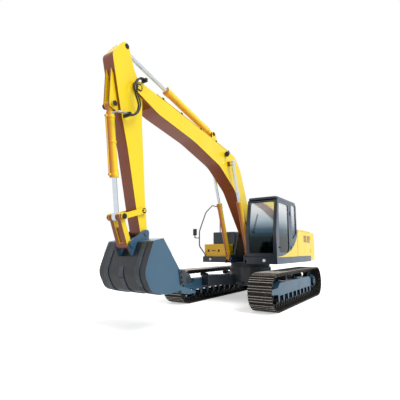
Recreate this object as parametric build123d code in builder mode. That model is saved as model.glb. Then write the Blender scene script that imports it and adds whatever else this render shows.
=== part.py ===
from build123d import *
import math
import os

# A crawler excavator of about 22 tonnes, in millimetres.
# +X is the machine's left, where the cab stands, +Y is its rear and +Z is up.
# The origin is on the ground under the swing axis.

# Undercarriage
GAUGE = 2560
SHOE_WIDTH = 600
TUMBLER_SPAN = 3840
TRACK_HEIGHT = 914
SHOE_COUNT = 52
SHOE_PLATE = 12
GROUSER = 26
GROUSER_BASE = 26
GROUSER_TOP = 12
GROUSERS_A_SHOE = 2
LINK_HEIGHT = 100
LINK_WIDTH = 45
LINK_GAP = 70
ROLLER_COUNT = 9
ROLLER_RADIUS = 75
ROLLER_FLANGE = 17
ROLLER_END = 472
ROLLER_SPACING = (TUMBLER_SPAN - 2 * ROLLER_END) / (ROLLER_COUNT - 1)
CARRIER_RADIUS = 60
CARRIER_PLACE = 720
SPROCKET_TEETH = 23
SIDE_FRAME_WIDTH = 300
SIDE_FRAME_LOW = 330
SIDE_FRAME_HIGH = 640
LEG_LOW = 430
LEG_HIGH = 720
PEDESTAL_RADIUS = 640
TOW_REACH = 830
TOW_WIDTH = 170
TOW_PLATE = 40
TOW_HOLE = 35
BEARING_RADIUS = 600
BEARING_BORE = 430
BEARING_LOW = 960

# Running clearances
SEAT_GAP = 0.3
SIDE_GAP = 7
PIN_GAP = 0.3

# Revolving frame and body
DECK_LOW = 1094
DECK_HIGH = 1278
UPPER_HALF = 1350
SKIRT = 50
CAB_FRONT = -1274
PLATFORM_FRONT = -657
BODY_REAR = 2090
TAIL_RADIUS = 2960
BODY_HIGH = 2110
EXHAUST_X = UPPER_HALF - 450
PANEL = 40
COUNTERWEIGHT_LOW = 1120
LIFT_HOLE = 25
LIFT_RADIUS = 60
LIFT_PLATE = 40
LIFT_RISE = 75
LIFT_X = 620
LIFT_Y = 2420
WEB = 36

# Cab
WALL_GAP = 30
CAB_INNER = 475
CAB_REAR = 560
CAB_HIGH = 2940
CAB_WALL = 50
CAB_CORNER = 90
GLASS = 8

# Work equipment, places in (y, z) with the bucket as parked
FOOT = (-240, 1960)
ARM_PIN = (-5300, 4540)
TIP = (-5000, 1760)
BOOM_CYLINDER_BASE = (-812, 1220)
BOOM_CYLINDER_HEAD = (-1720, 3865)
ARM_CYLINDER_BASE = (-2330, 4565)
ARM_CYLINDER_HEAD = (-5600, 5260)
BUCKET_CYLINDER_BASE = (-5830, 4020)
LINK_PIN = (-5560, 2030)
IDLER_PIN = (-5060, 2180)
BUCKET_PIN = (-5360, 1540)
BOOM_WIDTH = 390
ARM_WIDTH = 270
PLATE = 14
BUCKET_WIDTH = 1150
BUCKET_SHELL = 25
EAR = 40
BOOM_CYLINDER_X = 325
EYE_WIDTH = 90

# Hydraulic cylinders: outside radius, rod radius, barrel length from the base pin
BOOM_CYLINDER = (72, 43, 1690)
ARM_CYLINDER = (82, 50, 1990)
BUCKET_CYLINDER = (72, 43, 1310)
BARREL_BORE_WALL = 12
NECK_END = 125
CAVITY_START = 145

# Values that follow from the sizes above
PITCH_RADIUS = TRACK_HEIGHT / 2 - GROUSER - SHOE_PLATE - LINK_HEIGHT / 2
PITCH_CENTRE = TRACK_HEIGHT / 2
LOOP_LENGTH = 2 * TUMBLER_SPAN + 2 * math.pi * PITCH_RADIUS
PITCH = LOOP_LENGTH / SHOE_COUNT
WALL_FRONT = CAB_REAR + WALL_GAP
HALF_TURN = math.asin(PITCH / 2 / PITCH_RADIUS)
TUMBLER_RADIUS = PITCH_RADIUS * math.cos(HALF_TURN) - LINK_HEIGHT / 2 - SEAT_GAP
RAIL_TOP = PITCH_CENTRE - PITCH_RADIUS + LINK_HEIGHT / 2
ROLLER_Z = RAIL_TOP + SEAT_GAP + ROLLER_RADIUS
CARRIER_Z = TRACK_HEIGHT - RAIL_TOP - SEAT_GAP - CARRIER_RADIUS
RAIL_OUT = LINK_GAP / 2 + LINK_WIDTH
BOOM_HALF = BOOM_WIDTH / 2
ARM_HALF = ARM_WIDTH / 2
BUCKET_HALF = BUCKET_WIDTH / 2
EYE_HALF = EYE_WIDTH / 2
NOSE_INNER = ARM_HALF + SIDE_GAP + 5
BUCKET_EAR_INNER = ARM_HALF + 2 * SIDE_GAP
WEB_INNER = BOOM_HALF + 2 * SIDE_GAP

os.makedirs("parts", exist_ok=True)


def save(part, name):
    """Label a finished piece and write it as its own STEP file."""
    part.label = name
    export_step(part, "parts/" + name + ".step")


def side_plate(points, radii, x_one, x_two, mode=Mode.ADD):
    """Extrude a closed (y, z) outline with rounded corners between two x places."""
    low = min(x_one, x_two)
    with BuildSketch(Plane.YZ.offset(low)) as outline:
        with BuildLine():
            FilletPolyline(*points, radius=radii, close=True)
        make_face()
    extrude(outline.sketch, amount=abs(x_two - x_one), mode=mode)


def top_plate(points, radii, z_low, z_high, mode=Mode.ADD):
    """Extrude a closed (x, y) outline with rounded corners between two heights."""
    with BuildSketch(Plane.XY.offset(z_low)) as outline:
        with BuildLine():
            FilletPolyline(*points, radius=radii, close=True)
        make_face()
    extrude(outline.sketch, amount=z_high - z_low, mode=mode)


def block(x_low, x_high, y_low, y_high, z_low, z_high, mode=Mode.ADD):
    """A box between two corners."""
    with BuildSketch(Plane.XY.offset(z_low)) as outline:
        with Locations(((x_low + x_high) / 2, (y_low + y_high) / 2)):
            Rectangle(abs(x_high - x_low), abs(y_high - y_low))
    extrude(outline.sketch, amount=z_high - z_low, mode=mode)


def cross_pin(place, radius, x_one, x_two, mode=Mode.ADD):
    """A round bar along X about a (y, z) place."""
    low = min(x_one, x_two)
    with BuildSketch(Plane.YZ.offset(low)) as outline:
        with Locations(place):
            Circle(radius)
    extrude(outline.sketch, amount=abs(x_two - x_one), mode=mode)


def upright(x, y, radius, z_low, z_high, mode=Mode.ADD):
    """A round bar along Z."""
    with BuildSketch(Plane.XY.offset(z_low)) as outline:
        with Locations((x, y)):
            Circle(radius)
    extrude(outline.sketch, amount=z_high - z_low, mode=mode)


def between(start, end, x):
    """A plane at a pin, with its normal towards another pin of the same x."""
    direction = Vector(0, end[0] - start[0], end[1] - start[1])
    return Plane(origin=(x, start[0], start[1]), x_dir=(1, 0, 0), z_dir=direction)


def bar_on(plane, radius, from_pin, to_pin, mode=Mode.ADD):
    """A round bar along a plane's normal, between two distances from its origin."""
    with BuildSketch(plane.offset(from_pin)) as outline:
        Circle(radius)
    extrude(outline.sketch, amount=to_pin - from_pin, mode=mode)


def distance(one, two):
    """Straight distance between two (y, z) places."""
    return math.hypot(two[0] - one[0], two[1] - one[1])


def pitch_point(run):
    """A (y, z) point of the track's pitch line, run millimetres from the idler's foot."""
    half_span = TUMBLER_SPAN / 2
    low = PITCH_CENTRE - PITCH_RADIUS
    half_circle = math.pi * PITCH_RADIUS
    run = run % LOOP_LENGTH
    if run < TUMBLER_SPAN:
        return (run - half_span, low)
    run -= TUMBLER_SPAN
    if run < half_circle:
        turn = run / PITCH_RADIUS - math.pi / 2
        return (half_span + PITCH_RADIUS * math.cos(turn), PITCH_CENTRE + PITCH_RADIUS * math.sin(turn))
    run -= half_circle
    if run < TUMBLER_SPAN:
        return (half_span - run, PITCH_CENTRE + PITCH_RADIUS)
    run -= TUMBLER_SPAN
    turn = run / PITCH_RADIUS + math.pi / 2
    return (PITCH_RADIUS * math.cos(turn) - half_span, PITCH_CENTRE + PITCH_RADIUS * math.sin(turn))


def shoe_frame(number):
    """One shoe's first pin, its unit direction and its outward normal."""
    first = pitch_point(number * PITCH)
    second = pitch_point((number + 1) * PITCH)
    length = distance(first, second)
    along = ((second[0] - first[0]) / length, (second[1] - first[1]) / length)
    return first, along, (along[1], -along[0]), length


def pitch_ring(offset):
    """The loop's corners at one offset outwards from the pitch line, without straight ones."""
    ring = []
    for number in range(SHOE_COUNT):
        pin, after, out_after, _ = shoe_frame(number)
        _, before, out_before, _ = shoe_frame(number - 1)
        turn = before[0] * after[0] + before[1] * after[1]
        if turn > 0.99999:
            continue
        mid = (out_before[0] + out_after[0], out_before[1] + out_after[1])
        scale = offset / (1 + turn)
        ring.append((pin[0] + mid[0] * scale, pin[1] + mid[1] * scale))
    return ring


def shoe_outline():
    """The outer outline of all the shoes, with their grouser bars."""
    points = []
    face = LINK_HEIGHT / 2 + SHOE_PLATE
    for number in range(SHOE_COUNT):
        pin, along, out, length = shoe_frame(number)
        for bar in range(GROUSERS_A_SHOE):
            middle = length * (bar + 0.5) / GROUSERS_A_SHOE
            for reach, height in (
                (-GROUSER_BASE / 2, face),
                (-GROUSER_TOP / 2, face + GROUSER),
                (GROUSER_TOP / 2, face + GROUSER),
                (GROUSER_BASE / 2, face),
            ):
                place = middle + reach
                y = pin[0] + along[0] * place + out[0] * height
                z = pin[1] + along[1] * place + out[1] * height
                points.append((y, z))
    return points


def ring_prism(outer, inner, x_low, x_high):
    """A loop between two outlines, extruded along X."""
    with BuildSketch(Plane.YZ.offset(x_low)) as outline:
        with BuildLine():
            Polyline(*outer, close=True)
        make_face()
        with BuildLine():
            Polyline(*inner, close=True)
        make_face(mode=Mode.SUBTRACT)
    extrude(outline.sketch, amount=x_high - x_low)


# Tracks: shoes over two rails of links, one fixed loop a side
for name, side in (("left", 1), ("right", -1)):
    centre = side * GAUGE / 2
    with BuildPart() as track:
        ring_prism(
            shoe_outline(), pitch_ring(LINK_HEIGHT / 2), centre - SHOE_WIDTH / 2, centre + SHOE_WIDTH / 2,
        )
        for rail in (-1, 1):
            rail_centre = centre + rail * (LINK_GAP + LINK_WIDTH) / 2
            ring_prism(
                pitch_ring(LINK_HEIGHT / 2),
                pitch_ring(-LINK_HEIGHT / 2),
                rail_centre - LINK_WIDTH / 2,
                rail_centre + LINK_WIDTH / 2,
            )
    save(track.part, "track_" + name)

# Side frames: a box with roller collars, the idler's yoke and the final drive's plate
ROLLER_PLACES = [(number - (ROLLER_COUNT - 1) / 2) * ROLLER_SPACING for number in range(ROLLER_COUNT)]
SIDE_FRAME_HALF = SIDE_FRAME_WIDTH / 2
COLLAR_INNER = RAIL_OUT + 28
FRAME_END = TUMBLER_SPAN / 2 - PITCH_RADIUS - 25
YOKE_HALF = 60
SHAFT_RADIUS = 30
IDLER_SHAFT = 42
DRIVE_RADIUS = 225
for name, side in (("left", 1), ("right", -1)):
    centre = side * GAUGE / 2
    with BuildPart() as side_frame:
        side_plate(
            [
                (-FRAME_END, SIDE_FRAME_LOW),
                (FRAME_END, SIDE_FRAME_LOW),
                (FRAME_END, SIDE_FRAME_HIGH - 90),
                (FRAME_END - 150, SIDE_FRAME_HIGH),
                (150 - FRAME_END, SIDE_FRAME_HIGH),
                (-FRAME_END, SIDE_FRAME_HIGH - 120),
            ],
            [10, 10, 30, 30, 30, 30],
            centre - SIDE_FRAME_HALF,
            centre + SIDE_FRAME_HALF,
        )
        for place in ROLLER_PLACES:
            for end in (-1, 1):
                side_plate(
                    [
                        (place - 55, SIDE_FRAME_LOW + 1),
                        (place - 45, ROLLER_Z - 38),
                        (place + 45, ROLLER_Z - 38),
                        (place + 55, SIDE_FRAME_LOW + 1),
                    ],
                    [0, 20, 20, 0],
                    centre + end * COLLAR_INNER,
                    centre + end * (SIDE_FRAME_HALF - 2),
                )
        for place in (-CARRIER_PLACE, CARRIER_PLACE):
            side_plate(
                [
                    (place - 70, SIDE_FRAME_HIGH - 1),
                    (place - 45, CARRIER_Z + 40),
                    (place + 45, CARRIER_Z + 40),
                    (place + 70, SIDE_FRAME_HIGH - 1),
                ],
                [0, 20, 20, 0],
                centre - side * (SIDE_FRAME_HALF - 2),
                centre - side * COLLAR_INNER,
            )
        for end in (-1, 1):
            side_plate(
                [
                    (10 - FRAME_END, PITCH_CENTRE - 95),
                    (-TUMBLER_SPAN / 2 - YOKE_HALF, PITCH_CENTRE - YOKE_HALF),
                    (-TUMBLER_SPAN / 2 - YOKE_HALF, PITCH_CENTRE + YOKE_HALF),
                    (10 - FRAME_END, PITCH_CENTRE + 70),
                ],
                [0, 50, 50, 0],
                centre + end * COLLAR_INNER,
                centre + end * SIDE_FRAME_HALF,
            )
        side_plate(
            [
                (FRAME_END - 10, PITCH_CENTRE - 110),
                (TUMBLER_SPAN / 2 - 100, PITCH_CENTRE - DRIVE_RADIUS),
                (TUMBLER_SPAN / 2 + 130, PITCH_CENTRE - DRIVE_RADIUS + 20),
                (TUMBLER_SPAN / 2 + DRIVE_RADIUS, PITCH_CENTRE),
                (TUMBLER_SPAN / 2 + 130, PITCH_CENTRE + DRIVE_RADIUS - 20),
                (TUMBLER_SPAN / 2 - 100, PITCH_CENTRE + DRIVE_RADIUS),
                (FRAME_END - 10, PITCH_CENTRE + 90),
            ],
            [0, 60, 60, 90, 60, 60, 0],
            centre - side * COLLAR_INNER,
            centre - side * SIDE_FRAME_HALF,
        )
    save(side_frame.part, "side_frame_" + name)

# Track rollers, carrier rollers, idlers, sprockets and final drives, each kind in one node
with BuildPart() as track_rollers:
    for side in (-1, 1):
        centre = side * GAUGE / 2
        for place in ROLLER_PLACES:
            at = (place, ROLLER_Z)
            cross_pin(at, ROLLER_RADIUS, centre - RAIL_OUT - 5, centre + RAIL_OUT + 5)
            for end in (-1, 1):
                flange = centre + end * (RAIL_OUT + 3)
                cross_pin(at, ROLLER_RADIUS + ROLLER_FLANGE, flange, flange + end * 16)
                cross_pin(at, SHAFT_RADIUS, flange, centre + end * (COLLAR_INNER - SEAT_GAP))
save(track_rollers.part, "track_rollers")

with BuildPart() as carrier_rollers:
    for side in (-1, 1):
        centre = side * GAUGE / 2
        for place in (-CARRIER_PLACE, CARRIER_PLACE):
            at = (place, CARRIER_Z)
            cross_pin(at, CARRIER_RADIUS, centre - RAIL_OUT - 4, centre + RAIL_OUT + 12)
            cross_pin(at, SHAFT_RADIUS, centre, centre - side * (COLLAR_INNER - SEAT_GAP))
            cross_pin(at, SHAFT_RADIUS + 8, centre, centre + side * (RAIL_OUT + 26))
save(carrier_rollers.part, "carrier_rollers")

with BuildPart() as idlers:
    for side in (-1, 1):
        centre = side * GAUGE / 2
        at = (-TUMBLER_SPAN / 2, PITCH_CENTRE)
        cross_pin(at, TUMBLER_RADIUS, centre - RAIL_OUT, centre + RAIL_OUT)
        cross_pin(at, TUMBLER_RADIUS + 22, centre - LINK_GAP / 2 + 5, centre + LINK_GAP / 2 - 5)
        cross_pin(at, TUMBLER_RADIUS - 45, centre + 45, centre + RAIL_OUT, mode=Mode.SUBTRACT)
        cross_pin(at, TUMBLER_RADIUS - 45, centre - 45, centre - RAIL_OUT, mode=Mode.SUBTRACT)
        cross_pin(at, 95, centre - RAIL_OUT, centre + RAIL_OUT)
        cross_pin(at, IDLER_SHAFT, centre - COLLAR_INNER + SEAT_GAP, centre + COLLAR_INNER - SEAT_GAP)
save(idlers.part, "idlers")

SPROCKET_ROOT = PITCH_RADIUS - 45
SPROCKET_TIP = PITCH_RADIUS + 5
SPROCKET_BORE = 160
TOOTH_HALF = math.pi / SPROCKET_TEETH
with BuildPart() as sprockets:
    for side in (-1, 1):
        centre = side * GAUGE / 2
        teeth = []
        for tooth in range(SPROCKET_TEETH):
            middle = 2 * math.pi * tooth / SPROCKET_TEETH
            flank = ((-0.75, SPROCKET_ROOT), (-0.3, SPROCKET_TIP), (0.3, SPROCKET_TIP), (0.75, SPROCKET_ROOT))
            for turn, radius in flank:
                angle = middle + turn * TOOTH_HALF
                y = TUMBLER_SPAN / 2 + radius * math.cos(angle)
                teeth.append((y, PITCH_CENTRE + radius * math.sin(angle)))
        with BuildSketch(Plane.YZ.offset(centre - LINK_GAP / 2 + SIDE_GAP)) as disc:
            with BuildLine():
                Polyline(*teeth, close=True)
            make_face()
            with Locations((TUMBLER_SPAN / 2, PITCH_CENTRE)):
                Circle(SPROCKET_BORE, mode=Mode.SUBTRACT)
        extrude(disc.sketch, amount=LINK_GAP - 2 * SIDE_GAP)
save(sprockets.part, "sprockets")

with BuildPart() as final_drives:
    for side in (-1, 1):
        centre = side * GAUGE / 2
        at = (TUMBLER_SPAN / 2, PITCH_CENTRE)
        face = LINK_GAP / 2 - SIDE_GAP
        cross_pin(at, SPROCKET_BORE - SEAT_GAP, centre - face, centre + face)
        cross_pin(at, DRIVE_RADIUS - 15, centre + side * (face + SEAT_GAP), centre + side * (face + 70))
        cross_pin(at, SPROCKET_BORE - SEAT_GAP, centre + side * (face - 1), centre + side * (face + 145))
        cross_pin(
            at,
            SPROCKET_BORE - SEAT_GAP,
            centre - side * (face - 1),
            centre - side * (COLLAR_INNER - SEAT_GAP),
        )
save(final_drives.part, "final_drives")

# Car body: a pedestal for the swing bearing with four legs to the side frames
LEG_OUT = GAUGE / 2 - SIDE_FRAME_HALF
with BuildPart() as car_body:
    upright(0, 0, PEDESTAL_RADIUS, LEG_LOW, BEARING_LOW)
    for side in (-1, 1):
        for end in (-1, 1):
            top_plate(
                [
                    (side * 120, end * 300),
                    (side * 420, end * 120),
                    (side * LEG_OUT, end * 560),
                    (side * LEG_OUT, end * 1060),
                    (side * 900, end * 1060),
                ],
                [0, 0, 0, 0, 60],
                LEG_LOW,
                LEG_HIGH,
            )
    upright(0, 0, BEARING_BORE, LEG_LOW + 60, BEARING_LOW, mode=Mode.SUBTRACT)
    for end in (-1, 1):
        block(
            -TOW_WIDTH / 2,
            TOW_WIDTH / 2,
            end * (PEDESTAL_RADIUS - 60),
            end * TOW_REACH,
            LEG_LOW + 60,
            LEG_LOW + 60 + TOW_PLATE,
        )
        upright(0, end * (TOW_REACH - 70), TOW_HOLE, LEG_LOW, LEG_HIGH, mode=Mode.SUBTRACT)
save(car_body.part, "car_body")

with BuildPart() as swing_bearing:
    upright(0, 0, BEARING_RADIUS, BEARING_LOW, DECK_LOW - SEAT_GAP)
    upright(0, 0, BEARING_BORE, BEARING_LOW, DECK_LOW - SEAT_GAP, mode=Mode.SUBTRACT)
save(swing_bearing.part, "swing_bearing")

# Revolving frame: two webs that carry the boom's foot, a bottom plate, decks and skirts
FOOT_PIN = 55
FOOT_BOSS = 120
BASE_PIN = 38
WEB_OUTER = WEB_INNER + WEB
EYE_IN = BOOM_CYLINDER_X - EYE_HALF
EYE_OUT = BOOM_CYLINDER_X + EYE_HALF
FRAME_NOSE = BOOM_CYLINDER_BASE[0] - 95
DECK_INNER = 470
with BuildPart() as revolving_frame:
    for side in (-1, 1):
        side_plate(
            [
                (FRAME_NOSE, DECK_LOW),
                (FRAME_NOSE, DECK_HIGH + 40),
                (BOOM_CYLINDER_BASE[0] + 180, DECK_HIGH + 70),
                (FOOT[0] - FOOT_BOSS, FOOT[1]),
                (FOOT[0] - FOOT_BOSS / 2, FOOT[1] + FOOT_BOSS),
                (FOOT[0] + FOOT_BOSS / 2, FOOT[1] + FOOT_BOSS),
                (FOOT[0] + FOOT_BOSS, FOOT[1]),
                (WALL_FRONT - 150, DECK_HIGH),
                (BODY_REAR, DECK_HIGH),
                (BODY_REAR, DECK_LOW),
            ],
            [0, 60, 80, 60, 60, 60, 60, 200, 0, 0],
            side * WEB_INNER,
            side * WEB_OUTER,
        )
        cross_pin(BOOM_CYLINDER_BASE, 85, side * (WEB_OUTER - 1), side * (EYE_IN - SIDE_GAP))
        side_plate(
            [
                (FRAME_NOSE, DECK_LOW),
                (FRAME_NOSE, DECK_HIGH),
                (BOOM_CYLINDER_BASE[0] + 95, DECK_HIGH + 30),
                (BOOM_CYLINDER_BASE[0] + 200, DECK_LOW + 60),
                (BOOM_CYLINDER_BASE[0] + 200, DECK_LOW),
            ],
            [0, 70, 70, 0, 0],
            side * (EYE_OUT + SIDE_GAP),
            side * (EYE_OUT + SIDE_GAP + 32),
        )
        block(
            side * WEB_OUTER,
            side * DECK_INNER,
            BOOM_CYLINDER_BASE[0] + 150,
            BOOM_CYLINDER_BASE[0] + 200,
            DECK_LOW,
            DECK_HIGH,
        )
    block(-DECK_INNER, DECK_INNER, BOOM_CYLINDER_BASE[0] + 110, BODY_REAR, DECK_LOW, DECK_LOW + 20)
    for side, front in ((1, CAB_FRONT), (-1, PLATFORM_FRONT)):
        block(side * DECK_INNER, side * UPPER_HALF, front, BODY_REAR, DECK_HIGH - 20, DECK_HIGH)
        block(side * (UPPER_HALF - SKIRT), side * UPPER_HALF, front, BODY_REAR, DECK_LOW, DECK_HIGH)
        block(side * DECK_INNER, side * (DECK_INNER + SKIRT), front, BODY_REAR, DECK_LOW, DECK_HIGH)
        block(side * DECK_INNER, side * UPPER_HALF, front, front + SKIRT, DECK_LOW, DECK_HIGH)
        for beam in (0, 700, 1400, BODY_REAR - 60):
            block(side * WEB_INNER, side * (UPPER_HALF - SKIRT), beam, beam + 60, DECK_LOW, DECK_HIGH - 5)
        cross_pin(
            FOOT, FOOT_PIN + PIN_GAP, side * (WEB_INNER - 5), side * (WEB_OUTER + 5), mode=Mode.SUBTRACT,
        )
        cross_pin(
            BOOM_CYLINDER_BASE,
            BASE_PIN + PIN_GAP,
            side * (WEB_INNER - 5),
            side * (EYE_OUT + SIDE_GAP + 40),
            mode=Mode.SUBTRACT,
        )
save(revolving_frame.part, "revolving_frame")

# Counterweight: a solid casting with a round tail
TAIL_SIDE_Y = math.sqrt(TAIL_RADIUS**2 - UPPER_HALF**2)
COUNTERWEIGHT_HIGH = BODY_HIGH - 20
with BuildPart() as counterweight:
    with BuildSketch(Plane.XY.offset(COUNTERWEIGHT_LOW)) as outline:
        with BuildLine():
            Line((-UPPER_HALF, BODY_REAR + SEAT_GAP), (UPPER_HALF, BODY_REAR + SEAT_GAP))
            Line((UPPER_HALF, BODY_REAR + SEAT_GAP), (UPPER_HALF, TAIL_SIDE_Y))
            ThreePointArc((UPPER_HALF, TAIL_SIDE_Y), (0, TAIL_RADIUS), (-UPPER_HALF, TAIL_SIDE_Y))
            Line((-UPPER_HALF, TAIL_SIDE_Y), (-UPPER_HALF, BODY_REAR + SEAT_GAP))
        make_face()
    extrude(outline.sketch, amount=COUNTERWEIGHT_HIGH - COUNTERWEIGHT_LOW)
    corners = counterweight.edges().filter_by(Axis.Z).sort_by(Axis.Y)[-2:]
    fillet(corners, radius=120)
    fillet(counterweight.faces().sort_by(Axis.Z)[-1].edges().sort_by(Axis.Y)[-3:], radius=45)
save(counterweight.part, "counterweight")

# Lifting lugs, upright plates on the counterweight, each with a hole for a shackle
LUG_LOW = COUNTERWEIGHT_HIGH + SEAT_GAP
with BuildPart() as lifting_lugs:
    for side in (-1, 1):
        with BuildSketch(Plane.XZ.offset(-LIFT_Y)) as outline:
            with Locations((side * LIFT_X, LUG_LOW + LIFT_RISE)):
                Circle(LIFT_RADIUS)
            with Locations((side * LIFT_X, LUG_LOW)):
                Rectangle(2 * LIFT_RADIUS, LIFT_RISE, align=(Align.CENTER, Align.MIN))
            with Locations((side * LIFT_X, LUG_LOW + LIFT_RISE)):
                Circle(LIFT_HOLE, mode=Mode.SUBTRACT)
        extrude(outline.sketch, amount=LIFT_PLATE / 2, both=True)
save(lifting_lugs.part, "lifting_lugs")

# Hinge bars of the doors and the hood, each held by its frame and lying in a groove of its door
HINGE_BAR = 10
HINGE_OUT = 6
HINGE_LENGTH = 110
HOOD_HALF = 700
HOOD_RISE = 90
HOOD_FRONT = 900
HOOD_HINGE = (HOOD_FRONT + 3, BODY_HIGH + 2)
HOOD_HINGES = (-520, 410)
SIDE_HINGE_Y = BODY_REAR - 12
SIDE_HINGES = (DECK_HIGH + 120, BODY_HIGH - 260)
CAB_HINGE_Y = -72
CAB_HINGES = (1480, 2480)

# Engine bay: front wall, top rim, posts, and the doors and hood that close it
DOOR_GAP = 5
RIM = 30
with BuildPart() as body_frame:
    block(
        -UPPER_HALF + PANEL + 10,
        UPPER_HALF - PANEL - 10,
        WALL_FRONT,
        WALL_FRONT + RIM,
        DECK_HIGH,
        BODY_HIGH - RIM,
    )
    block(-HOOD_HALF - 1, HOOD_HALF + 1, WALL_FRONT, HOOD_FRONT, BODY_HIGH - RIM, BODY_HIGH)
    for side in (-1, 1):
        block(side * HOOD_HALF, side * UPPER_HALF, WALL_FRONT, BODY_REAR - 5, BODY_HIGH - RIM, BODY_HIGH)
        block(
            side * (UPPER_HALF - 120),
            side * (UPPER_HALF - PANEL - DOOR_GAP),
            BODY_REAR - 60,
            BODY_REAR - DOOR_GAP,
            DECK_HIGH,
            BODY_HIGH - RIM + 1,
        )
        for low in SIDE_HINGES:
            upright(side * (UPPER_HALF + HINGE_OUT), SIDE_HINGE_Y, HINGE_BAR, low, low + HINGE_LENGTH)
            block(
                side * (UPPER_HALF - PANEL - DOOR_GAP - 1),
                side * (UPPER_HALF + HINGE_OUT),
                BODY_REAR - DOOR_GAP,
                BODY_REAR - SEAT_GAP,
                low,
                low + HINGE_LENGTH,
            )
    for place in HOOD_HINGES:
        cross_pin(HOOD_HINGE, HINGE_BAR, place, place + HINGE_LENGTH)
save(body_frame.part, "body_frame")

HOOD_WALL = 25
with BuildPart() as hood:
    low = BODY_HIGH - HOOD_WALL
    block(-HOOD_HALF + 6, HOOD_HALF - 6, HOOD_FRONT + 6, BODY_REAR - 11, low, BODY_HIGH + HOOD_RISE)
    fillet(hood.edges().filter_by(Axis.Z), radius=60)
    fillet(hood.faces().sort_by(Axis.Z)[-1].edges(), radius=40)
    block(
        -HOOD_HALF + 6 + HOOD_WALL,
        HOOD_HALF - 6 - HOOD_WALL,
        HOOD_FRONT + 6 + HOOD_WALL,
        BODY_REAR - 11 - HOOD_WALL,
        low,
        BODY_HIGH + HOOD_RISE - HOOD_WALL,
        mode=Mode.SUBTRACT,
    )
    for place in HOOD_HINGES:
        groove = HINGE_BAR + SEAT_GAP
        cross_pin(HOOD_HINGE, groove, place - 5, place + HINGE_LENGTH + 5, mode=Mode.SUBTRACT)
save(hood.part, "engine_hood")

for name, side in (("left", 1), ("right", -1)):
    with BuildPart() as side_door:
        block(
            side * (UPPER_HALF - PANEL),
            side * UPPER_HALF,
            WALL_FRONT + 6,
            BODY_REAR - 6,
            DECK_HIGH + 6,
            BODY_HIGH - RIM - 6,
        )
        for low in SIDE_HINGES:
            x = side * (UPPER_HALF + HINGE_OUT)
            upright(
                x, SIDE_HINGE_Y, HINGE_BAR + SEAT_GAP, low - 5, low + HINGE_LENGTH + 5, mode=Mode.SUBTRACT,
            )
    save(side_door.part, "side_door_" + name)

with BuildPart() as engine_block:
    block(-380, 380, 1020, 1720, DECK_HIGH + 10, DECK_HIGH + 660)
    for side in (-1, 1):
        block(side * WEB_INNER, side * WEB_OUTER, 1080, 1640, DECK_HIGH, DECK_HIGH + 11)
save(engine_block.part, "engine_block")

# Tool box and fuel tank on the right platform
TANK_FRONT = -100
TANK_HIGH = 2070
BOX_HIGH = 1660
BOX_FRONT = PLATFORM_FRONT + 60
BOX_LID = 60
BOX_WALL = 20
LID_HINGE = (TANK_FRONT - 12, BOX_HIGH + 4)
LID_HINGES = (-1130, -740)
LID_BAR = 6
with BuildPart() as tool_box:
    block(
        -UPPER_HALF + 20,
        -DECK_INNER - 70,
        BOX_FRONT,
        TANK_FRONT - 8,
        DECK_HIGH,
        BOX_HIGH - BOX_LID - SEAT_GAP,
    )
    fillet(tool_box.edges().filter_by(Axis.Z), radius=30)
    block(
        -UPPER_HALF + 20 + BOX_WALL,
        -DECK_INNER - 70 - BOX_WALL,
        BOX_FRONT + BOX_WALL,
        TANK_FRONT - 8 - BOX_WALL,
        DECK_HIGH + BOX_WALL,
        BOX_HIGH,
        mode=Mode.SUBTRACT,
    )
save(tool_box.part, "tool_box")

with BuildPart() as tool_box_lid:
    block(-UPPER_HALF + 20, -DECK_INNER - 70, BOX_FRONT, TANK_FRONT - 8, BOX_HIGH - BOX_LID, BOX_HIGH)
    fillet(tool_box_lid.edges().filter_by(Axis.Z), radius=30)
    fillet(tool_box_lid.faces().sort_by(Axis.Z)[-1].edges(), radius=20)
    for middle in LID_HINGES:
        x_low, x_high = middle - 50, middle + 50
        block(x_low, x_high, LID_HINGE[0] - 20, LID_HINGE[0] + LID_BAR, BOX_HIGH - BOX_LID + 20, LID_HINGE[1])
        cross_pin(LID_HINGE, LID_BAR, x_low, x_high)
save(tool_box_lid.part, "tool_box_lid")

with BuildPart() as fuel_tank:
    block(-UPPER_HALF + 45, -DECK_INNER + 10, TANK_FRONT, WALL_FRONT - 5, DECK_HIGH, TANK_HIGH)
    fillet(fuel_tank.edges().filter_by(Axis.Z), radius=50)
    fillet(fuel_tank.faces().sort_by(Axis.Z)[-1].edges(), radius=30)
save(fuel_tank.part, "fuel_tank")

# Cab: a hollow box with window openings, a door in its left wall and glass in its frames
CAB_OUTER = UPPER_HALF
CAB_LOW = DECK_HIGH + SEAT_GAP
ROOF_LOW = CAB_HIGH - 70
SCREEN_KNEE = 1900
SCREEN_TOP = CAB_FRONT + 190
DOOR_FRONT = -1130
DOOR_REAR = -70
DOOR_LOW = CAB_LOW + 45
DOOR_HIGH = ROOF_LOW - 30


def cab_outline(inset):
    """The cab's side outline, moved in by one wall."""
    return [
        (CAB_FRONT + inset, CAB_LOW + inset),
        (CAB_FRONT - 12 + inset, SCREEN_KNEE),
        (SCREEN_TOP + inset, ROOF_LOW - inset),
        (CAB_REAR - inset, ROOF_LOW - inset),
        (CAB_REAR - inset, CAB_LOW + inset),
    ]


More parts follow.
